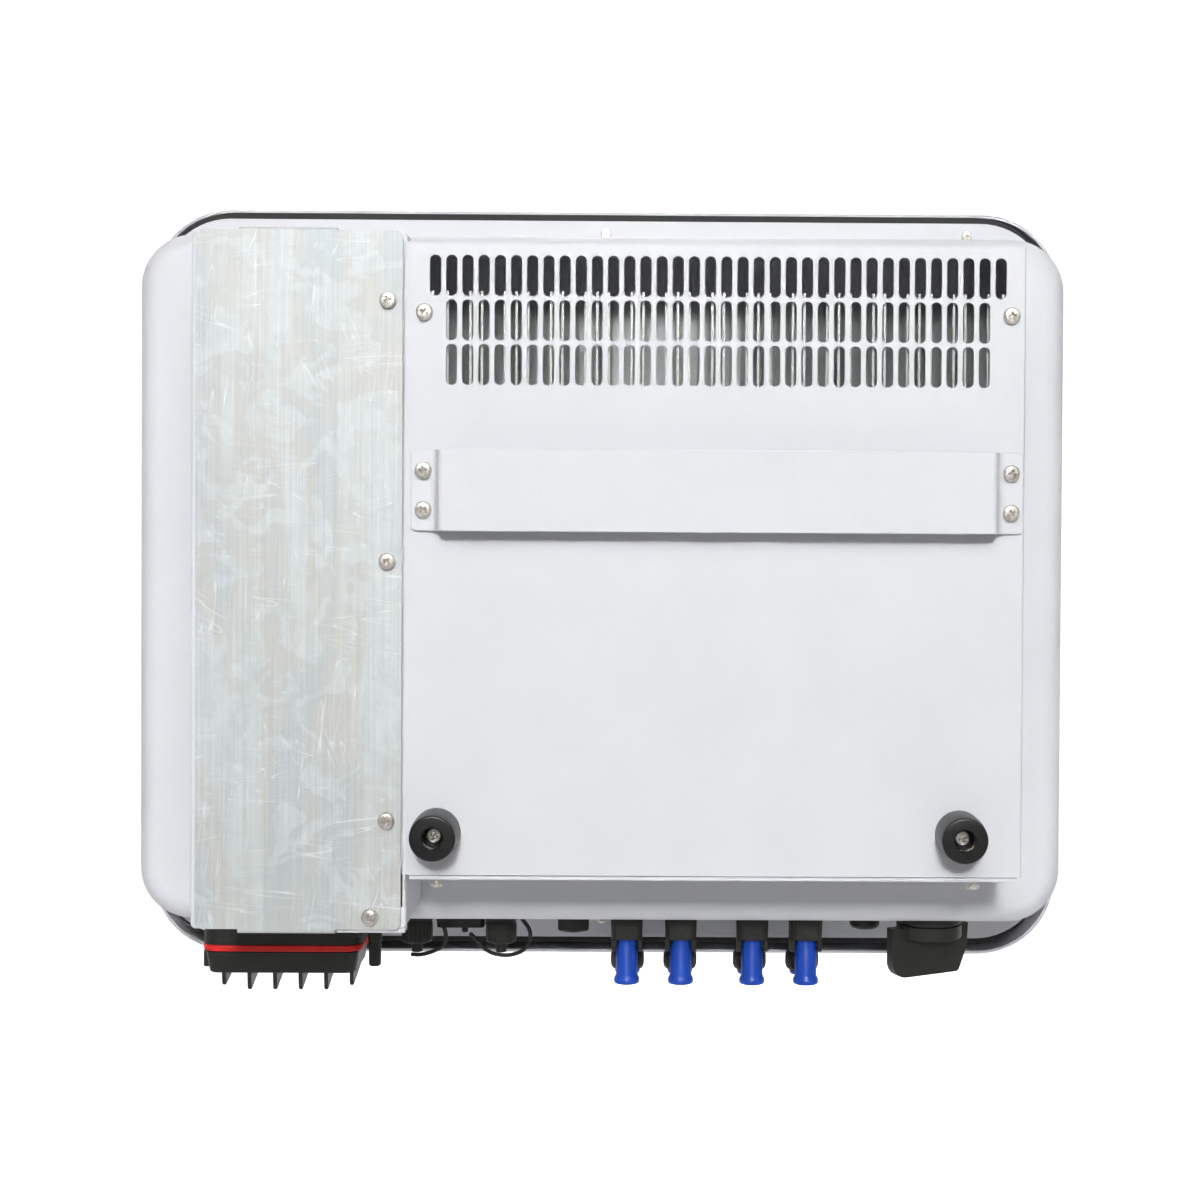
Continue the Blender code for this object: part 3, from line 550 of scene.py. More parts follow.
def makeVentCover():
    low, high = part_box("vent_cover")
    cover = addBox("slotted_cover", low, high)
    removeFaces(cover, lambda middle, normal: normal.z < -0.5 or normal.y < -0.5)
    corners = [alongAxis(axis) for axis in range(3)]
    roundEdges(cover, lambda a, b: (atPlace(1, high.y)(a, b) or corners[1](a, b))
               and (a.z + b.z) / 2 > low.z + 0.001 and (a.x + b.x) / 2 < high.x - 0.001, ventCover["bend"], 6)
    # the side bend is tighter than the top one
    bend, squeeze = ventCover["bend"], ventCover["tightBend"] / ventCover["bend"]
    mesh = openMesh(cover, "VERT")
    for vert in mesh.verts:
        if vert.co.x < low.x + bend + 0.00001:
            vert.co.x = low.x + (vert.co.x - low.x) * squeeze
    bmesh.update_edit_mesh(cover.data)
    closeMesh()
    modify(cover, "SOLIDIFY", thickness=ventCover["sheet"], offset=-1, use_even_offset=True)
    for down, count in ventCover["slotRows"]:
        row = makeSlots("slots", ventCover["slotWidth"], ventCover["slotLength"], 0.012, count,
                        ventCover["slotPitch"], ((low.x + high.x) / 2, high.y, high.z - down))
        cutWith(cover, row)
    softenEdges(cover, ventCover["rim"])
    settle(cover, paint, stands=["vent_cover"])
    # a rolled lip that lies over the side of the inductor box and ends at its plate
    lip = addBox("cover_lip", (high.x + 0.00005, high.y - ventCover["lip"], low.z + ventCover["rim"]),
                 (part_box("box_cover_plate")[0].x - touch, high.y, high.z - ventCover["tightBend"]))
    roundEdges(lip, lambda a, b: a.x > high.x + 0.001 and b.x > high.x + 0.001 and atPlace(1, high.y)(a, b),
               ventCover["lip"] - 0.0002, 6)
    smooth(lip)
    settle(lip, paint)


bottomPlate = {
    "endGap": 0.0021, "setBack": 0.0006, "seamLess": 0.0003, "shadeStripDeep": 0.010,
    "intakes": 10, "intakePitch": 0.024, "intakeWidth": 0.007, "intakeLength": 0.040,
    "screws": (0.1390, -0.1293), "screwInset": 0.0060, "screwDrop": 0.0024, "screwSize": 0.78,
}


def makeBottomPlate():
    low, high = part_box("vent_bottom_plate")
    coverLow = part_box("vent_cover")[0]
    low.x = coverLow.x + bottomPlate["endGap"]
    high.y -= bottomPlate["setBack"]
    high.z += bottomPlate["seamLess"]
    plate = roundedBox("intake_plate", low, high, 0.0003, 0, 2)
    # a black rubber strip set into the seam between the vent cover and the plate: painted shade that keeps
    # the seam dark
    seal = roundedBox("seam_shade_strip", (low.x + 0.001, high.y - bottomPlate["shadeStripDeep"], high.z + 0.00005),
                      (high.x - 0.001, high.y - 0.0002, coverLow.z - 0.00005), 0.0001, 0, 1)
    smooth(seal)
    settle(seal, rubber)
    middle = (low + high) / 2
    # the slots are cut upright, so they are made along Y and turned down
    row = makeSlots("intakes", bottomPlate["intakeWidth"], bottomPlate["intakeLength"], 0.02,
                    bottomPlate["intakes"], bottomPlate["intakePitch"], (0, 0, 0))
    shiftMesh(row, (0, middle.y, middle.z), pi / 2, "X")
    cutWith(plate, row)
    softenEdges(plate, 0.0003)
    settle(plate, paint, stands=["vent_bottom_plate"])


bracket = {
    "flangeX": 0.1390, "raisedX": 0.1370, "sheet": 0.002, "innerBend": 0.0040, "outerBend": 0.0022,
    "corner": 0.0028, "edge": 0.0006,
}


def makeBracket():
    low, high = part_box("hanging_bracket")
    flat = low.y + bracket["sheet"]
    steps = ((-bracket["flangeX"], flat), (-bracket["raisedX"], high.y), (bracket["raisedX"], high.y),
             (bracket["flangeX"], flat), (high.x, flat))
    # a strip for the first flange, whose end edge is then drawn along the hat profile
    hat = addPlane("hook_channel", ((low.x - bracket["flangeX"]) / 2, flat, (low.z + high.z) / 2),
                   (-bracket["flangeX"] - low.x, high.z - low.z))
    x, y = -bracket["flangeX"], flat
    for newX, newY in steps[1:]:
        pickEdges(hat, lambda a, b: abs(a.x - x) < 0.00001 and abs(b.x - x) < 0.00001)
        bpy.ops.mesh.extrude_region_move(TRANSFORM_OT_translate={"value": (newX - x, newY - y, 0)})
        closeMesh()
        x, y = newX, newY
    bends = ((bracket["flangeX"], bracket["innerBend"]), (bracket["raisedX"], bracket["outerBend"]))
    for bendX, radius in bends:
        roundEdges(hat, lambda a, b: abs(a.x - b.x) < 0.00001 and abs(abs(a.x) - bendX) < 0.00001, radius, 6)
    mesh = openMesh(hat, "VERT")
    for vert in mesh.verts:
        vert.select_set(abs(abs(vert.co.x) - high.x) < 0.00001)
    bmesh.update_edit_mesh(hat.data)
    bpy.ops.mesh.bevel(offset=bracket["corner"], segments=5, affect="VERTICES")
    bpy.ops.mesh.select_all(action="SELECT")
    bpy.ops.mesh.normals_make_consistent(inside=False)
    closeMesh()
    if hat.data.polygons[0].normal.y < 0:
        hat.data.flip_normals()
    modify(hat, "SOLIDIFY", thickness=bracket["sheet"], offset=-1, use_even_offset=True)
    softenEdges(hat, bracket["edge"])
    settle(hat, paint, stands=["hanging_bracket"])


panHead = {
    "radius": 0.0042, "rim": 0.0011, "height": 0.0026, "shank": 0.00175, "shankLength": 0.005,
    "arm": 0.0046, "slit": 0.0014, "depth": 0.0023, "crown": 0.0030, "taper": 0.5,
}


def makeScrewMaster():
    # a pan head that faces +Y with its seat at the origin, and a cross recess
    radius, rim, height = panHead["radius"], panHead["rim"], panHead["height"]
    crown, shank = panHead["crown"], panHead["shank"]
    profile = [(shank, -panHead["shankLength"]), (shank, 0), (radius, 0), (radius, rim)]
    for k in range(1, 7):
        angle = pi / 2 * k / 6
        profile.append((crown + (radius - crown) * cos(angle), rim + (height - rim) * sin(angle) * 0.94))
    profile.append((crown * 0.5, height))
    screw = addTurned("screw", (0, 0, 0), profile, 32, "Y")
    top = height + 0.001
    for arm, slit in ((panHead["arm"], panHead["slit"]), (panHead["slit"], panHead["arm"])):
        recess = addBox("recess", (-arm / 2, height - panHead["depth"], -slit / 2), (arm / 2, top, slit / 2))
        pickFaces(recess, lambda middle, normal: normal.y < -0.5)
        bpy.ops.transform.resize(value=(panHead["taper"], 1, panHead["taper"]),
                                 center_override=(0, height, 0))
        closeMesh()
        cutWith(screw, recess)
    softenEdges(screw, 0.00008, 1, 30)
    return screw


flangeScrews = {"places": (0.060, -0.147), "fromTop": 0.0075, "fromBottom": 0.0107, "size": 0.70}


def makeScrews():
    master = makeScrewMaster()
    names = sorted(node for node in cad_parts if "screw" in node)
    for number, node in enumerate(names):
        low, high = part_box(node)
        place = ((low.x + high.x) / 2, high.y - panHead["height"], (low.z + high.z) / 2)
        screw = copyMesh(master, node + "_head")
        shiftMesh(screw, place, 0.7 * number + 0.3, "Y")
        settle(screw, nickel, stands=[node])
    low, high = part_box("housing")
    seat = low.y + casing["sheet"]
    number = 0
    for x in flangeScrews["places"]:
        for z in (high.z - flangeScrews["fromTop"], low.z + flangeScrews["fromBottom"]):
            number += 1
            screw = copyMesh(master, "flange_screw_%d" % number)
            screw.data.transform(Matrix.Scale(flangeScrews["size"], 4))
            shiftMesh(screw, (x, seat, z), number * 1.1, "Y")
            settle(screw, nickel)
    plateLow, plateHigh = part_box("vent_bottom_plate")
    for number, x in enumerate(bottomPlate["screws"], 1):
        screw = copyMesh(master, "plate_screw_%d" % number)
        screw.data.transform(Matrix.Scale(bottomPlate["screwSize"], 4))
        shiftMesh(screw, (x, plateHigh.y - bottomPlate["screwInset"], plateLow.z - bottomPlate["screwDrop"]),
                  -pi / 2, "X")
        settle(screw, nickel)
    bpy.data.objects.remove(master, do_unlink=True)


foot = {"tipRadius": 0.0114, "rim": 0.0012, "bore": 0.0051, "floor": 0.009}


def makeFeet():
    for side in ("left", "right"):
        node = "rubber_foot_" + side
        low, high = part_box(node)
        radius, tip = (high.x - low.x) / 2, high.y - low.y
        centre = ((low.x + high.x) / 2, low.y, (low.z + high.z) / 2)
        edge, rim, bore = foot["tipRadius"], foot["rim"], foot["bore"]
        profile = [(radius, 0), (radius, tip * 0.55), (edge, tip - rim)]
        for k in range(1, 5):
            angle = pi / 2 * k / 4
            profile.append((edge - rim * (1 - cos(angle)), tip - rim * (1 - sin(angle))))
        profile += [(bore + 0.0005, tip), (bore, tip - 0.0006), (bore, foot["floor"])]
        rubberFoot = addTurned("foot_" + side, centre, profile, 64, "Y")
        smooth(rubberFoot)
        settle(rubberFoot, footRubber, stands=[node])


inductorBox = {
    "corner": 0.003, "wall": 0.0018, "flange": 0.018, "rearRound": 0.0012,
    "cableSlot": (0.0114, 0.0302), "lip": 0.0017, "lipDeep": 0.010, "lipInset": 0.0006,
}


def makeInductorBox():
    low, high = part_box("inductor_box")
    wall, flange = inductorBox["wall"], inductorBox["flange"]
    case = roundedBox("inductor_case", low, high, inductorBox["corner"], 1, 6)
    roundEdges(case, atPlace(1, high.y), inductorBox["rearRound"], 3)
    cutWith(case, addBox("case_mouth", (low.x + flange, low.y + wall, low.z + flange),
                         (high.x - wall * 2, high.y + 0.01, high.z - wall * 2)))
    cutWith(case, addBox("case_room", low + Vector((wall, wall, wall)),
                         (high.x - wall, high.y - 0.003, high.z - wall)))
    slotLow, slotHigh = inductorBox["cableSlot"]
    cutWith(case, addBox("cable_slot", (low.x + wall, high.y - 0.012, low.z + slotLow),
                         (low.x + flange, high.y + 0.001, low.z + slotHigh)))
    inset = inductorBox["lipInset"]
    lipLow = (low.x + inset, high.y - inductorBox["lipDeep"], low.z - inductorBox["lip"])
    lipHigh = (coverPlate["tabX"][0] - inset, high.y - 0.0008, low.z + 0.001)
    joinWith(case, addBox("lower_lip", lipLow, lipHigh))
    softenEdges(case, 0.0003)
    settle(case, paint, stands=["inductor_box"])


coverPlate = {
    "tabX": (0.1889, 0.2372), "topTab": 0.0012, "bottomTab": 0.0022, "sheet": 0.0012,
    "corner": 0.0035, "fold": 0.0012, "edge": 0.0002,
}


def makeCoverPlate():
    low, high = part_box("box_cover_plate")
    top, bottom = high.z - coverPlate["topTab"], low.z + coverPlate["bottomTab"]
    plate = addPlane("aluminium_plate", ((low.x + high.x) / 2, high.y, (low.z + high.z) / 2),
                     (high.x - low.x, high.z - low.z))
    for edge, sheetEdge in ((high.z, top), (low.z, bottom)):
        pickEdges(plate, atPlace(2, edge))
        bpy.ops.transform.translate(value=(0, 0, sheetEdge - edge))
        closeMesh()
    bpy.ops.object.mode_set(mode="EDIT")
    bpy.ops.mesh.select_all(action="SELECT")
    bpy.ops.mesh.bevel(offset=coverPlate["corner"], segments=5, affect="VERTICES")
    for x in coverPlate["tabX"]:
        bpy.ops.mesh.select_all(action="SELECT")
        bpy.ops.mesh.bisect(plane_co=(x, 0, 0), plane_no=(1, 0, 0))
    closeMesh()
    left, right = coverPlate["tabX"]
    for edge, tabEdge in ((top, high.z), (bottom, low.z)):
        pickEdges(plate, lambda a, b: atPlace(2, edge)(a, b)
                  and left - 0.0001 < (a.x + b.x) / 2 < right + 0.0001)
        bpy.ops.mesh.extrude_region_move(TRANSFORM_OT_translate={"value": (0, 0, tabEdge - edge)})
        bpy.ops.mesh.extrude_region_move(TRANSFORM_OT_translate={"value": (0, low.y - high.y, 0)})
        closeMesh()
    folds = (low.z, high.z)
    roundEdges(plate, lambda a, b: abs(a.y - b.y) < 0.00001 and abs(a.y - high.y) < 0.00001
               and any(atPlace(2, fold)(a, b) for fold in folds), coverPlate["fold"], 4)
    if max(plate.data.polygons, key=lambda face: face.area).normal.y < 0:
        plate.data.flip_normals()
    modify(plate, "SOLIDIFY", thickness=coverPlate["sheet"], offset=-1, use_even_offset=True)
    softenEdges(plate, coverPlate["edge"])
    settle(plate, sheetMetal, stands=["box_cover_plate"])


acConnector = {
    "mouth": (0.066, 0.032), "plugMiddle": 0.2341, "plugSize": (0.0802, 0.042), "plugTaper": 0.002,
    "socketCorner": 0.009, "plugCorner": 0.006, "ribMiddle": 0.2310, "ribPitch": 0.014, "ribThick": 0.0023,
    "ribs": 6, "ribTips": (0.0078, 0.0104), "ribDeep": 0.0340, "latchRoom": 0.0010,
}


def makeAcSocket():
    low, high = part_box("ac_socket")
    centre = (low + high) / 2
    centre.x = acConnector["plugMiddle"]
    halfX, halfY = acConnector["mouth"][0] / 2, acConnector["mouth"][1] / 2
    socket = roundedBox("ac_housing", low, high, acConnector["socketCorner"], 2, 10)
    joinWith(socket, roundedBox("ac_collar", (low.x + 0.0012, high.y - 0.004, low.z + 0.004),
                                (low.x + 0.0300, high.y + 0.0001, high.z - 0.003), 0.001, 2, 3))
    cutWith(socket, roundedBox("ac_mouth", (centre.x - halfX, centre.y - halfY, low.z - 0.01),
                               (centre.x + halfX, centre.y + halfY, high.z - 0.0046), 0.008, 2, 6))
    softenEdges(socket, 0.0004)
    settle(socket, nylon, stands=["ac_socket"])
    low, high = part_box("ac_seal")
    seal = roundedBox("ac_seal_ring", low, high, acConnector["socketCorner"], 2, 10)
    cutWith(seal, roundedBox("seal_mouth", (centre.x - halfX, centre.y - halfY, low.z - 0.01),
                             (centre.x + halfX, centre.y + halfY, high.z + 0.01), 0.008, 2, 6))
    softenEdges(seal, 0.0008, 3)
    settle(seal, silicone, stands=["ac_seal"])


def makeAcPlug():
    low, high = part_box("ac_plug")
    sealLow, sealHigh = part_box("ac_seal")
    latchLow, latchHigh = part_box("ac_latch")
    top = sealLow.z - touch
    centre = (sealLow + sealHigh) / 2
    centre.x = acConnector["plugMiddle"]
    taper = acConnector["plugTaper"]
    halfX, halfY = acConnector["plugSize"][0] / 2, acConnector["plugSize"][1] / 2
    bottom = low.z + max(acConnector["ribTips"])
    plug = roundedBox("terminal_block", (centre.x - halfX - taper, centre.y - halfY - taper, bottom),
                      (centre.x + halfX + taper, centre.y + halfY + taper, top),
                      acConnector["plugCorner"], 2, 10)
    pickFaces(plug, lambda middle, normal: normal.z < -0.9)
    bpy.ops.transform.resize(value=(halfX / (halfX + taper), halfY / (halfY + taper), 1),
                             center_override=(centre.x, centre.y, bottom))
    closeMesh()
    roundEdges(plug, atPlace(2, bottom), 0.0010, 3)
    halfMouthX, halfMouthY = acConnector["mouth"][0] / 2 - 0.0005, acConnector["mouth"][1] / 2 - 0.0005
    joinWith(plug, roundedBox("spigot", (centre.x - halfMouthX, centre.y - halfMouthY, top - 0.003),
                              (centre.x + halfMouthX, centre.y + halfMouthY, high.z), 0.0075, 2, 6))
    near = centre.y + halfY - 0.0015
    far = near - acConnector["ribDeep"]
    for k in range(acConnector["ribs"]):
        x = acConnector["ribMiddle"] + (k - (acConnector["ribs"] - 1) / 2) * acConnector["ribPitch"]
        tip = bottom - acConnector["ribTips"][0 if k in (0, acConnector["ribs"] - 1) else 1]
        half = acConnector["ribThick"] / 2
        rib = addBox("rib", (x - half, far, tip), (x + half, near, bottom + 0.002))
        pickEdges(rib, lambda a, b: atPlace(2, tip)(a, b) and atPlace(1, far)(a, b))
        bpy.ops.transform.translate(value=(0, 0, bottom - tip - 0.0004))
        closeMesh()
        roundEdges(rib, lambda a, b: a.z < bottom and b.z < bottom and abs(a.y - b.y) < 0.00001
                   and abs(a.y - near) < 0.00001, 0.0030, 5)
        roundEdges(rib, lambda a, b: a.z < bottom - 0.0001 and b.z < bottom - 0.0001
                   and abs(a.x - b.x) < 0.00001, half * 0.8, 4)
        joinWith(plug, rib)
    room = acConnector["latchRoom"]
    side = centre.x + halfX
    cutWith(plug, addBox("latch_pocket", (side - room, latchLow.y - 0.0005, bottom - 0.001),
                         (side + 0.01, latchHigh.y + 0.0005, top + 0.001)))
    softenEdges(plug, 0.0004)
    settle(plug, nylon, "ac_plug_body", ["ac_plug"])
    latch = addBox("release_latch", latchLow, latchHigh)
    roundEdges(latch, alongAxis(1), 0.0010, 3)
    for k in range(3):
        y = latchLow.y + (k + 1) * (latchHigh.y - latchLow.y) / 4
        cutWith(latch, addBox("grip", (latchHigh.x - 0.0005, y - 0.0008, latchLow.z - 0.001),
                              (latchHigh.x + 0.001, y + 0.0008, latchHigh.z + 0.001)))
    softenEdges(latch, 0.0002)
    settle(latch, nylon, "ac_latch_body", ["ac_latch"])


def makeGuidePost():
    low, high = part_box("guide_post")
    centre = (low + high) / 2
    tall = high.z - low.z
    post = addTurned("guide_post_round", (centre.x, centre.y, low.z),
                     [(0.0038, tall), (0.0038, tall - 0.0160), (0.0032, tall - 0.0172),
                      (0.0035, tall - 0.0182), (0.0033, 0.0010), (0.0030, 0.0003), (0.0025, 0)], 36)
    softenEdges(post, 0.0002)
    settle(post, nylon, stands=["guide_post"])


pvSocket = {
    "blockHalf": 0.0089, "blockCorner": 0.0042, "bore": 0.0058, "farBore": 0.0062, "armOut": 0.0074,
    "armThick": 0.0022, "armDeep": 0.0070, "keyRadius": 0.0016,
    "mouthUp": 0.0076, "boreRoof": 0.0066,    # above the ends of the arms, below the casing
}


def makeNearSocket(number, x, y, top, low):
    half, corner = pvSocket["blockHalf"], pvSocket["blockCorner"]
    mouth = low + pvSocket["mouthUp"]
    socket = roundedBox("pv_inlet_%d" % number, (x - half, y - half, mouth), (x + half, y + half, top),
                        corner, 2, 6)
    pickFaces(socket, lambda middle, normal: normal.z < -0.9)
    bpy.ops.transform.resize(value=(0.94, 0.94, 1), center_override=(x, y, mouth))
    closeMesh()
    # the raised keying panel on the wall side, with its moulded ring
    joinWith(socket, roundedBox("panel", (x - 0.0056, y + half - 0.002, mouth + 0.0006),
                                (x + 0.0056, y + half + 0.0002, top - 0.0006), 0.0006, 1, 3))
    key = pvSocket["keyRadius"]
    joinWith(socket, addTurned("key", (x, y + half - 0.0004, mouth + 0.0045),
                               [(key, 0), (key, 0.0009), (0.0009, 0.0009), (0.0009, 0.0003)], 20, "Y"))
    for side in (-1, 1):
        middle = x + side * pvSocket["armOut"]
        arm = addBox("arm", (middle - pvSocket["armThick"] / 2, y - pvSocket["armDeep"] / 2, low),
                     (middle + pvSocket["armThick"] / 2, y + pvSocket["armDeep"] / 2, mouth + 0.004))
        roundEdges(arm, lambda a, b: atPlace(2, low)(a, b) and abs(a.x - b.x) > 0.001, 0.0025, 4)
        joinWith(socket, arm)
    bore = pvSocket["bore"]
    cutWith(socket, addTurned("bore", (x, y, 0),
                              [(bore, low - 0.01), (bore, top - pvSocket["boreRoof"])], 32))
    return socket


def makeFarSocket(number, x, y, top, low):
    profile = [(0.0075, top - low), (0.0075, 0.0111), (0.0080, 0.0106), (0.0092, 0.0081), (0.0094, 0.0066),
               (0.0094, 0.0026), (0.0090, 0.0010), (0.0084, 0), (0.0072, 0), (0.0062, 0.0008),
               (pvSocket["farBore"], 0.0166)]
    socket = addTurned("pv_inlet_%d" % number, (x, y, low), profile, 40)
    for k in range(10):
        angle = 2 * pi * k / 10
        groove = addBox("groove", (-0.0009, 0.0086, low + 0.0012), (0.0009, 0.0110, low + 0.0076))
        shiftMesh(groove, (x, y, 0), angle, "Z")
        cutWith(socket, groove)
    return socket


def makePvRow():
    for number in range(1, 9):
        node = "pv_socket_%d" % number
        low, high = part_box(node)
        x, y = (low.x + high.x) / 2, (low.y + high.y) / 2
        near = number <= 4
        socket = (makeNearSocket if near else makeFarSocket)(number, x, y, high.z, low.z)
        softenEdges(socket, 0.00025)
        settle(socket, nylon, stands=[node])
        node = "pv_cap_%d" % number
        low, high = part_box(node)
        tall = high.z - low.z
        if near:
            profile = [(0.0048, tall), (0.00545, tall - 0.0007), (0.00545, 0.0186), (0.0059, 0.0176),
                       (0.0059, 0.0050), (0.0063, 0.0038), (0.00685, 0.0030), (0.0070, 0.0022),
                       (0.0070, 0.0010), (0.0068, 0.0003), (0.0063, 0), (0.0048, 0), (0.0044, 0.0008),
                       (0.0042, 0.0126)]
        else:
            profile = [(0.0053, tall), (0.0059, tall - 0.0007), (0.0059, 0.0029), (0.0068, 0.0026),
                       (0.0070, 0.0022), (0.0070, 0.0012), (0.0067, 0.0005), (0.0060, 0), (0.0048, 0),
                       (0.0044, 0.0008), (0.0042, 0.0098)]
        cap = addTurned("pv_plug_%d" % number, (x, y, low.z), profile, 48)
        smooth(cap, 40)
        settle(cap, polypropylene, "pv_cap_body_%d" % number, [node])


comCap = {"radius": 0.0085, "grips": 22, "gripDepth": 0.0004, "gripHeights": (0.0072, 0.0156)}


def makeComPorts():
    for number in (1, 2):
        low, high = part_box("com_socket_%d" % number)
        x, y = (low.x + high.x) / 2, (low.y + high.y) / 2
        socket = addTurned("com_port_%d" % number, (x, y, low.z),
                           [(0.0089, high.z - low.z), (0.0089, 0.0112), (0.0085, 0.0108),
                            (0.0065, 0.0108), (0.0065, 0)], 40)
        softenEdges(socket, 0.0002)
        settle(socket, nylon, stands=["com_socket_%d" % number])
        low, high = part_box("com_cap_%d" % number)
        radius, tall = comCap["radius"], high.z - low.z
        gripLow, gripHigh = comCap["gripHeights"]
        profile = [(0.0030, 0), (0.0030, 0.0046), (0.0034, 0.0052), (0.0068, 0.0054), (0.0078, 0.0058),
                   (radius, gripLow - 0.0002), (radius, gripHigh + 0.0002), (0.0080, 0.0163),
                   (0.0080, 0.0168), (0.0083, 0.0170), (0.0083, tall), (0.0070, tall), (0.0070, 0.0080)]
        cap = addTurned("com_lid_%d" % number, (x, y, low.z), profile, 66)
        for k in range(comCap["grips"]):
            angle = 2 * pi * k / comCap["grips"]
            groove = addBox("groove", (-0.0004, radius - comCap["gripDepth"], low.z + gripLow),
                            (0.0004, radius + 0.001, low.z + gripHigh))
            shiftMesh(groove, (x, y, 0), angle, "Z")
            cutWith(cap, groove)
        softenEdges(cap, 0.00012, 1)
        settle(cap, nylon, "com_cap_body_%d" % number, ["com_cap_%d" % number])


capStrap = {
    "radius": 0.00115,
    "first": ((0.1640, -0.1160, -0.2546), (0.1590, -0.1160, -0.2547), (0.1547, -0.1160, -0.2538),
              (0.1500, -0.1150, -0.2518), (0.1462, -0.1140, -0.2490), (0.1446, -0.1130, -0.2450),
              (0.1450, -0.1120, -0.2400), (0.1475, -0.1110, -0.2350), (0.1500, -0.1100, -0.2310)),
    "second": ((0.1310, -0.1120, -0.2420), (0.1262, -0.1140, -0.2474), (0.1216, -0.1160, -0.2525),
               (0.1144, -0.1160, -0.2547), (0.1058, -0.1160, -0.2538), (0.1012, -0.1150, -0.2508),
               (0.0985, -0.1140, -0.2450), (0.0985, -0.1120, -0.2400), (0.1015, -0.1110, -0.2350),
               (0.1040, -0.1100, -0.2310)),
}


def makeStraps():
    for number, key in enumerate(("first", "second"), 1):
        route = capStrap[key]
        curve = bpy.data.curves.new("strap", "CURVE")
        curve.dimensions = "3D"
        curve.bevel_depth = capStrap["radius"]
        curve.bevel_resolution = 3
        curve.use_fill_caps = True
        line = curve.splines.new("BEZIER")
        line.bezier_points.add(len(route) - 1)
        for point, place in zip(line.bezier_points, route):
            point.co = place
            point.handle_left_type = point.handle_right_type = "AUTO"
        line.resolution_u = 8
        strap = bpy.data.objects.new("strap_%d" % number, curve)
        bpy.context.scene.collection.objects.link(strap)
        makeActive(strap)
        bpy.ops.object.convert(target="MESH")
        strap = bpy.context.object
        modify(strap, "WELD", merge_threshold=0.00001)
        smooth(strap, 45)
        settle(strap, rubber, stands=["cap_strap_%d" % number])


servicePort = {"nub": (0.1350, -0.1230), "nubHeight": 0.0028, "corner": 0.0025}


def makeServicePort():
    low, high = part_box("port_cover")
    body = roundedBox("service_cover", (low.x, low.y, low.z + servicePort["nubHeight"]), high,
                      servicePort["corner"], 2, 5)
    pickFaces(body, lambda middle, normal: normal.z < -0.9)
    bpy.ops.transform.resize(value=(0.94, 0.92, 1), center_override=(low + high) / 2)
    closeMesh()
    joinWith(body, addTurned("nub", (*servicePort["nub"], low.z),
                             [(0.0017, 0.004), (0.0017, 0.0004), (0.0013, 0)], 20))
    softenEdges(body, 0.0005)
    settle(body, nylon, stands=["port_cover"])


def makeBreather():
    low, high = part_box("breather_valve")
    centre = (low + high) / 2
    valve = addTurned("breather", (centre.x, centre.y, low.z),
                      [(0.0097, high.z - low.z), (0.0097, 0.0012), (0.0088, 0.0002), (0.0070, 0),
                       (0.0050, 0), (0.0046, 0.0012)], 6)
    for k in range(6):
        vent = addBox("vent", (-0.0008, 0.0040, low.z - 0.001), (0.0008, 0.0076, low.z + 0.0014))
        shiftMesh(vent, (centre.x, centre.y, 0), pi / 3 * k + pi / 6, "Z")
        cutWith(valve, vent)
    softenEdges(valve, 0.0004)
    settle(valve, nylon, stands=["breather_valve"])


def makeBlankPlug():
    low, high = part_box("blank_plug")
    centre = (low + high) / 2
    blank = addTurned("blanking_plug", (centre.x, centre.y, low.z),
                      [(0.0084, high.z - low.z), (0.0084, 0.0027), (0.0080, 0.0014), (0.0070, 0.0004),
                       (0.0058, 0), (0.0045, 0)], 48)
    cutWith(blank, addBox("coin_slot", (centre.x - 0.0062, centre.y - 0.0009, low.z - 0.001),
                          (centre.x + 0.0062, centre.y + 0.0009, low.z + 0.0016)))
    softenEdges(blank, 0.0003)
    settle(blank, knobPlastic, stands=["blank_plug"])


dcSwitch = {
    "turn": 25, "gripEnds": (0.0250, -0.0236), "gripThick": 0.0065, "hub": 0.0179,
    "corner": 0.0085, "smallCorner": 0.0018, "gripTop": 0.0272, "break": 0.0137, "hubEnd": 0.0211,
    "breakLean": 0.0010, "tipLean": 0.0062, "tipRise": 0.0006,
}


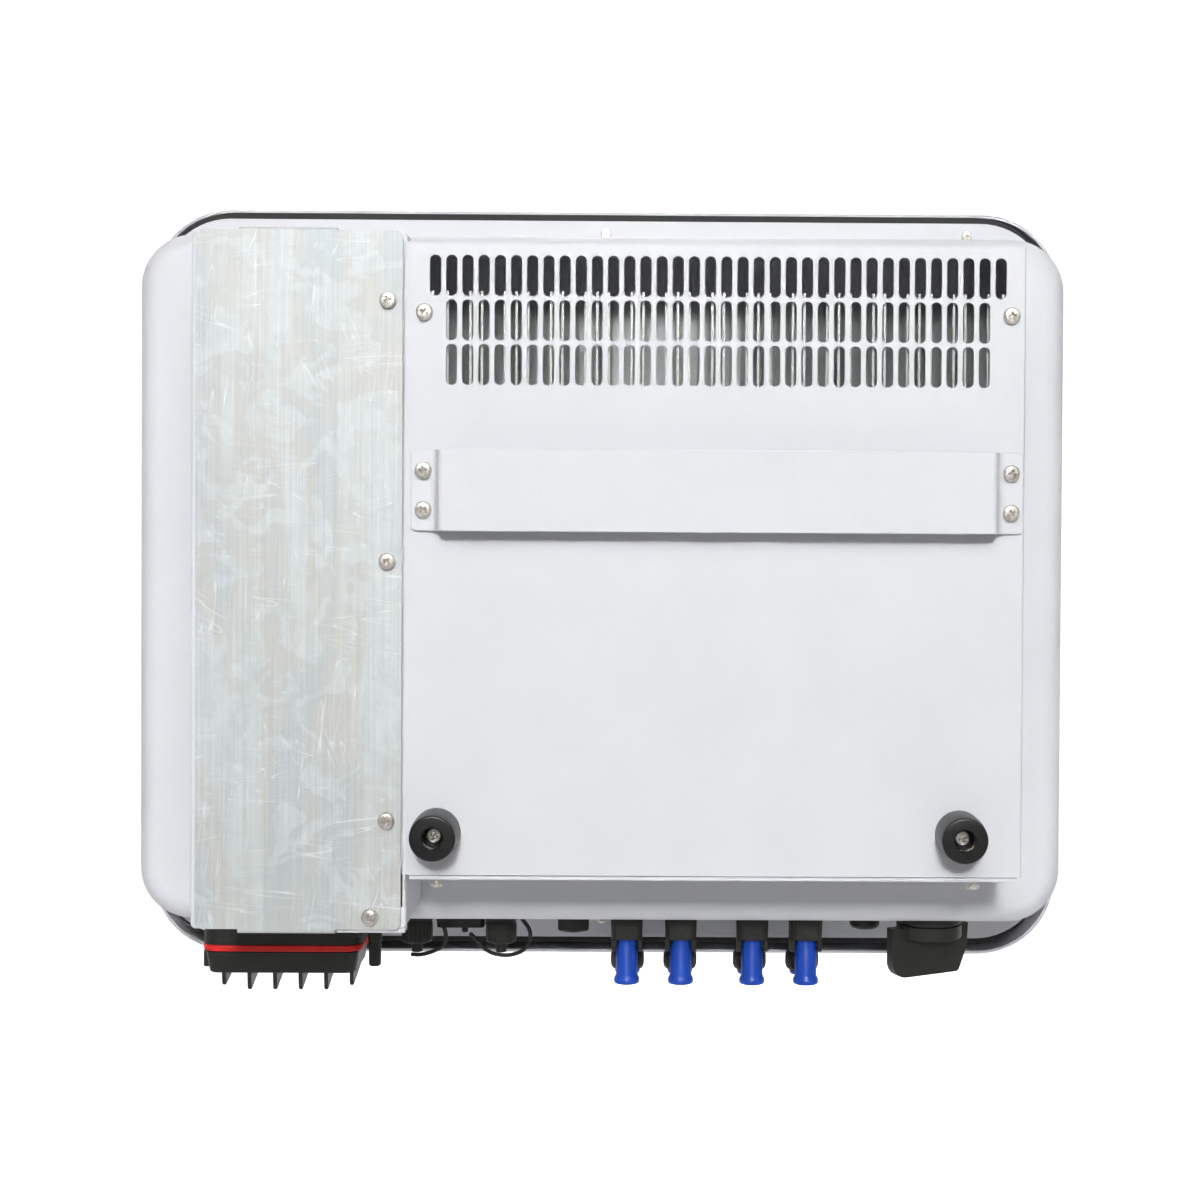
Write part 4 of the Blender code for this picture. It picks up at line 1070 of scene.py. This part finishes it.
def makeDcSwitch():
    low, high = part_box("dc_switch_base")
    x, y = (low.x + high.x) / 2, (low.y + high.y) / 2
    base = addTurned("switch_base", (x, y, low.z),
                     [(0.0176, high.z - low.z), (0.0178, 0.0020), (0.0178, 0.0010), (0.0172, 0),
                      (0.0160, 0), (0.0158, 0.0003)], 64)
    softenEdges(base, 0.0002)
    settle(base, nylon, stands=["dc_switch_base"])
    low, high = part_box("dc_switch_knob")
    radius, end = dcSwitch["hub"], dcSwitch["hubEnd"]
    knob = addTurned("switch_knob_grip", (x, y, low.z),
                     [(radius, high.z - low.z), (radius, end + 0.0011), (radius - 0.0003, end + 0.0004),
                      (radius - 0.0010, end), (radius - 0.004, end)], 72)
    right, left = dcSwitch["gripEnds"]
    thick = dcSwitch["gripThick"] / 2
    grip = addBox("grip", (left, -thick, low.z), (right, thick, low.z + dcSwitch["gripTop"]))
    breakZ = low.z + dcSwitch["break"]
    makeActive(grip)
    bpy.ops.object.mode_set(mode="EDIT")
    bpy.ops.mesh.select_all(action="SELECT")
    bpy.ops.mesh.bisect(plane_co=(0, 0, breakZ), plane_no=(0, 0, 1))
    closeMesh()
    # the narrow end leans in, and more so below its break
    rise = dcSwitch["tipRise"]
    leans = ((breakZ, dcSwitch["breakLean"], 0), (low.z, dcSwitch["tipLean"], rise))
    for height, inward, up in leans:
        pickEdges(grip, lambda a, b: atPlace(2, height)(a, b) and a.x < -0.01 and b.x < -0.01)
        bpy.ops.transform.translate(value=(inward, 0, up))
        closeMesh()
    roundEdges(grip, lambda a, b: atPlace(2, low.z)(a, b) and a.x > 0.02 and b.x > 0.02,
               dcSwitch["corner"], 10)
    roundEdges(grip, lambda a, b: atPlace(2, low.z + rise)(a, b) and a.x < -0.01 and b.x < -0.01,
               dcSwitch["smallCorner"], 5)
    shiftMesh(grip, (x, y, 0), radians(dcSwitch["turn"]), "Z")
    joinWith(knob, grip)
    softenEdges(knob, 0.0005, 3)
    settle(knob, knobPlastic, "switch_knob", ["dc_switch_knob"])


def dressCadNodes():
    # nodes whose shape is right keep it and get their finish
    for node, material in (("heatsink", finMetal), ("main_board", board), ("power_module", resin),
                           ("potted_inductors", resin), ("capacitor_bank", sleeve)):
        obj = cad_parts[node]
        obj.data.materials.clear()
        obj.data.materials.append(material)


studio = {
    "cameraPlace": (0.0304, 0.9417, -0.0120), "lens": 57.7, "pitchDown": 0.88, "yaw": -0.396, "roll": 0.34,
    "shift": (-0.0575, -0.0456), "sky": (1.0, 0.99, 0.97), "fill": 0.07, "shine": 0.2, "beyond": 1.0,
    "sideSoftboxes": (("left", 2.2), ("right", -2.2)),
}


def makeCamera():
    data = bpy.data.cameras.new("camera")
    data.lens = studio["lens"]
    data.sensor_width = 36
    data.shift_x, data.shift_y = studio["shift"]
    data.clip_start, data.clip_end = 0.01, 30
    camera = bpy.data.objects.new("camera", data)
    bpy.context.scene.collection.objects.link(camera)
    facing = Matrix(((-1, 0, 0), (0, 0, 1), (0, 1, 0)))
    turned = facing @ Matrix.Rotation(radians(studio["yaw"]), 3, "Y")
    turned = turned @ Matrix.Rotation(radians(-studio["pitchDown"]), 3, "X")
    turned = turned @ Matrix.Rotation(radians(studio["roll"]), 3, "Z")
    camera.matrix_world = Matrix.Translation(studio["cameraPlace"]) @ turned.to_4x4()
    bpy.context.scene.camera = camera


def addLight(name, place, target, size, power, spread=180):
    data = bpy.data.lights.new(name, "AREA")
    data.shape = "RECTANGLE"
    data.size, data.size_y = size
    data.energy = power
    data.spread = radians(spread)
    light = bpy.data.objects.new(name, data)
    bpy.context.scene.collection.objects.link(light)
    light.location = place
    light.rotation_euler = (Vector(target) - Vector(place)).to_track_quat("-Z", "Y").to_euler()


def makeStudio():
    world = bpy.data.worlds.new("studio")
    bpy.context.scene.world = world
    world.use_nodes = True
    sky = world.node_tree.nodes["Background"]
    sky.inputs["Color"].default_value = (*studio["sky"], 1)
    # the white room fills the shadows little, shows in polished metal and is white behind the object
    tree = world.node_tree
    rays = addNode(tree, "LightPath").node.outputs
    lit = maths(tree, "MULTIPLY_ADD", rays["Is Glossy Ray"], studio["shine"], studio["fill"])
    seen = maths(tree, "MULTIPLY_ADD", rays["Is Camera Ray"], studio["beyond"], lit)
    tree.links.new(seen, sky.inputs["Strength"])
    floor = addPlane("floor", (0, 1.4, -0.82), (7, 4.8), upright=False)
    floor.data.materials.append(makeStage("pale_studio_floor", "#f2f2f2", 0.0))
    wall = addPlane("backdrop", (0, -2.7, 0), (9, 6))
    wall.data.materials.append(makeStage("white_backdrop", "#fdfdfd", 1.05))
    addLight("key_softbox", (0.0, 1.75, 1.15), (0.05, 0, -0.02), (1.2, 0.9), 21.5)
    addLight("grid_softbox", (0.03, 1.90, 0.80), (0.03, -0.05, -0.03), (0.9, 1.1), 1.7, 10)
    addLight("front_softbox", (0.4, -1.9, 1.3), (0.05, -0.1, 0), (1.4, 1.2), 16)
    for side, x in studio["sideSoftboxes"]:
        addLight("side_softbox_" + side, (x, 0.5, 0.3), (0.06, -0.08, 0), (1.2, 1.2), 2.5)


def main():
    panLow, panHigh = makeCasing()
    makeGasket(panLow, panHigh)
    makeFrontCover()
    print("casing and covers made")
    makeVentCover()
    makeBottomPlate()
    makeBracket()
    makeScrews()
    makeFeet()
    print("vent cover, bracket, screws and feet made")
    makeInductorBox()
    makeCoverPlate()
    print("inductor box made")
    makeAcSocket()
    makeAcPlug()
    makeGuidePost()
    makePvRow()
    makeComPorts()
    makeStraps()
    makeServicePort()
    makeBreather()
    makeBlankPlug()
    makeDcSwitch()
    print("connectors made")
    dressCadNodes()
    makeCamera()
    makeStudio()
    print("studio made")


main()
bpy.context.scene.view_settings.view_transform = "Standard"
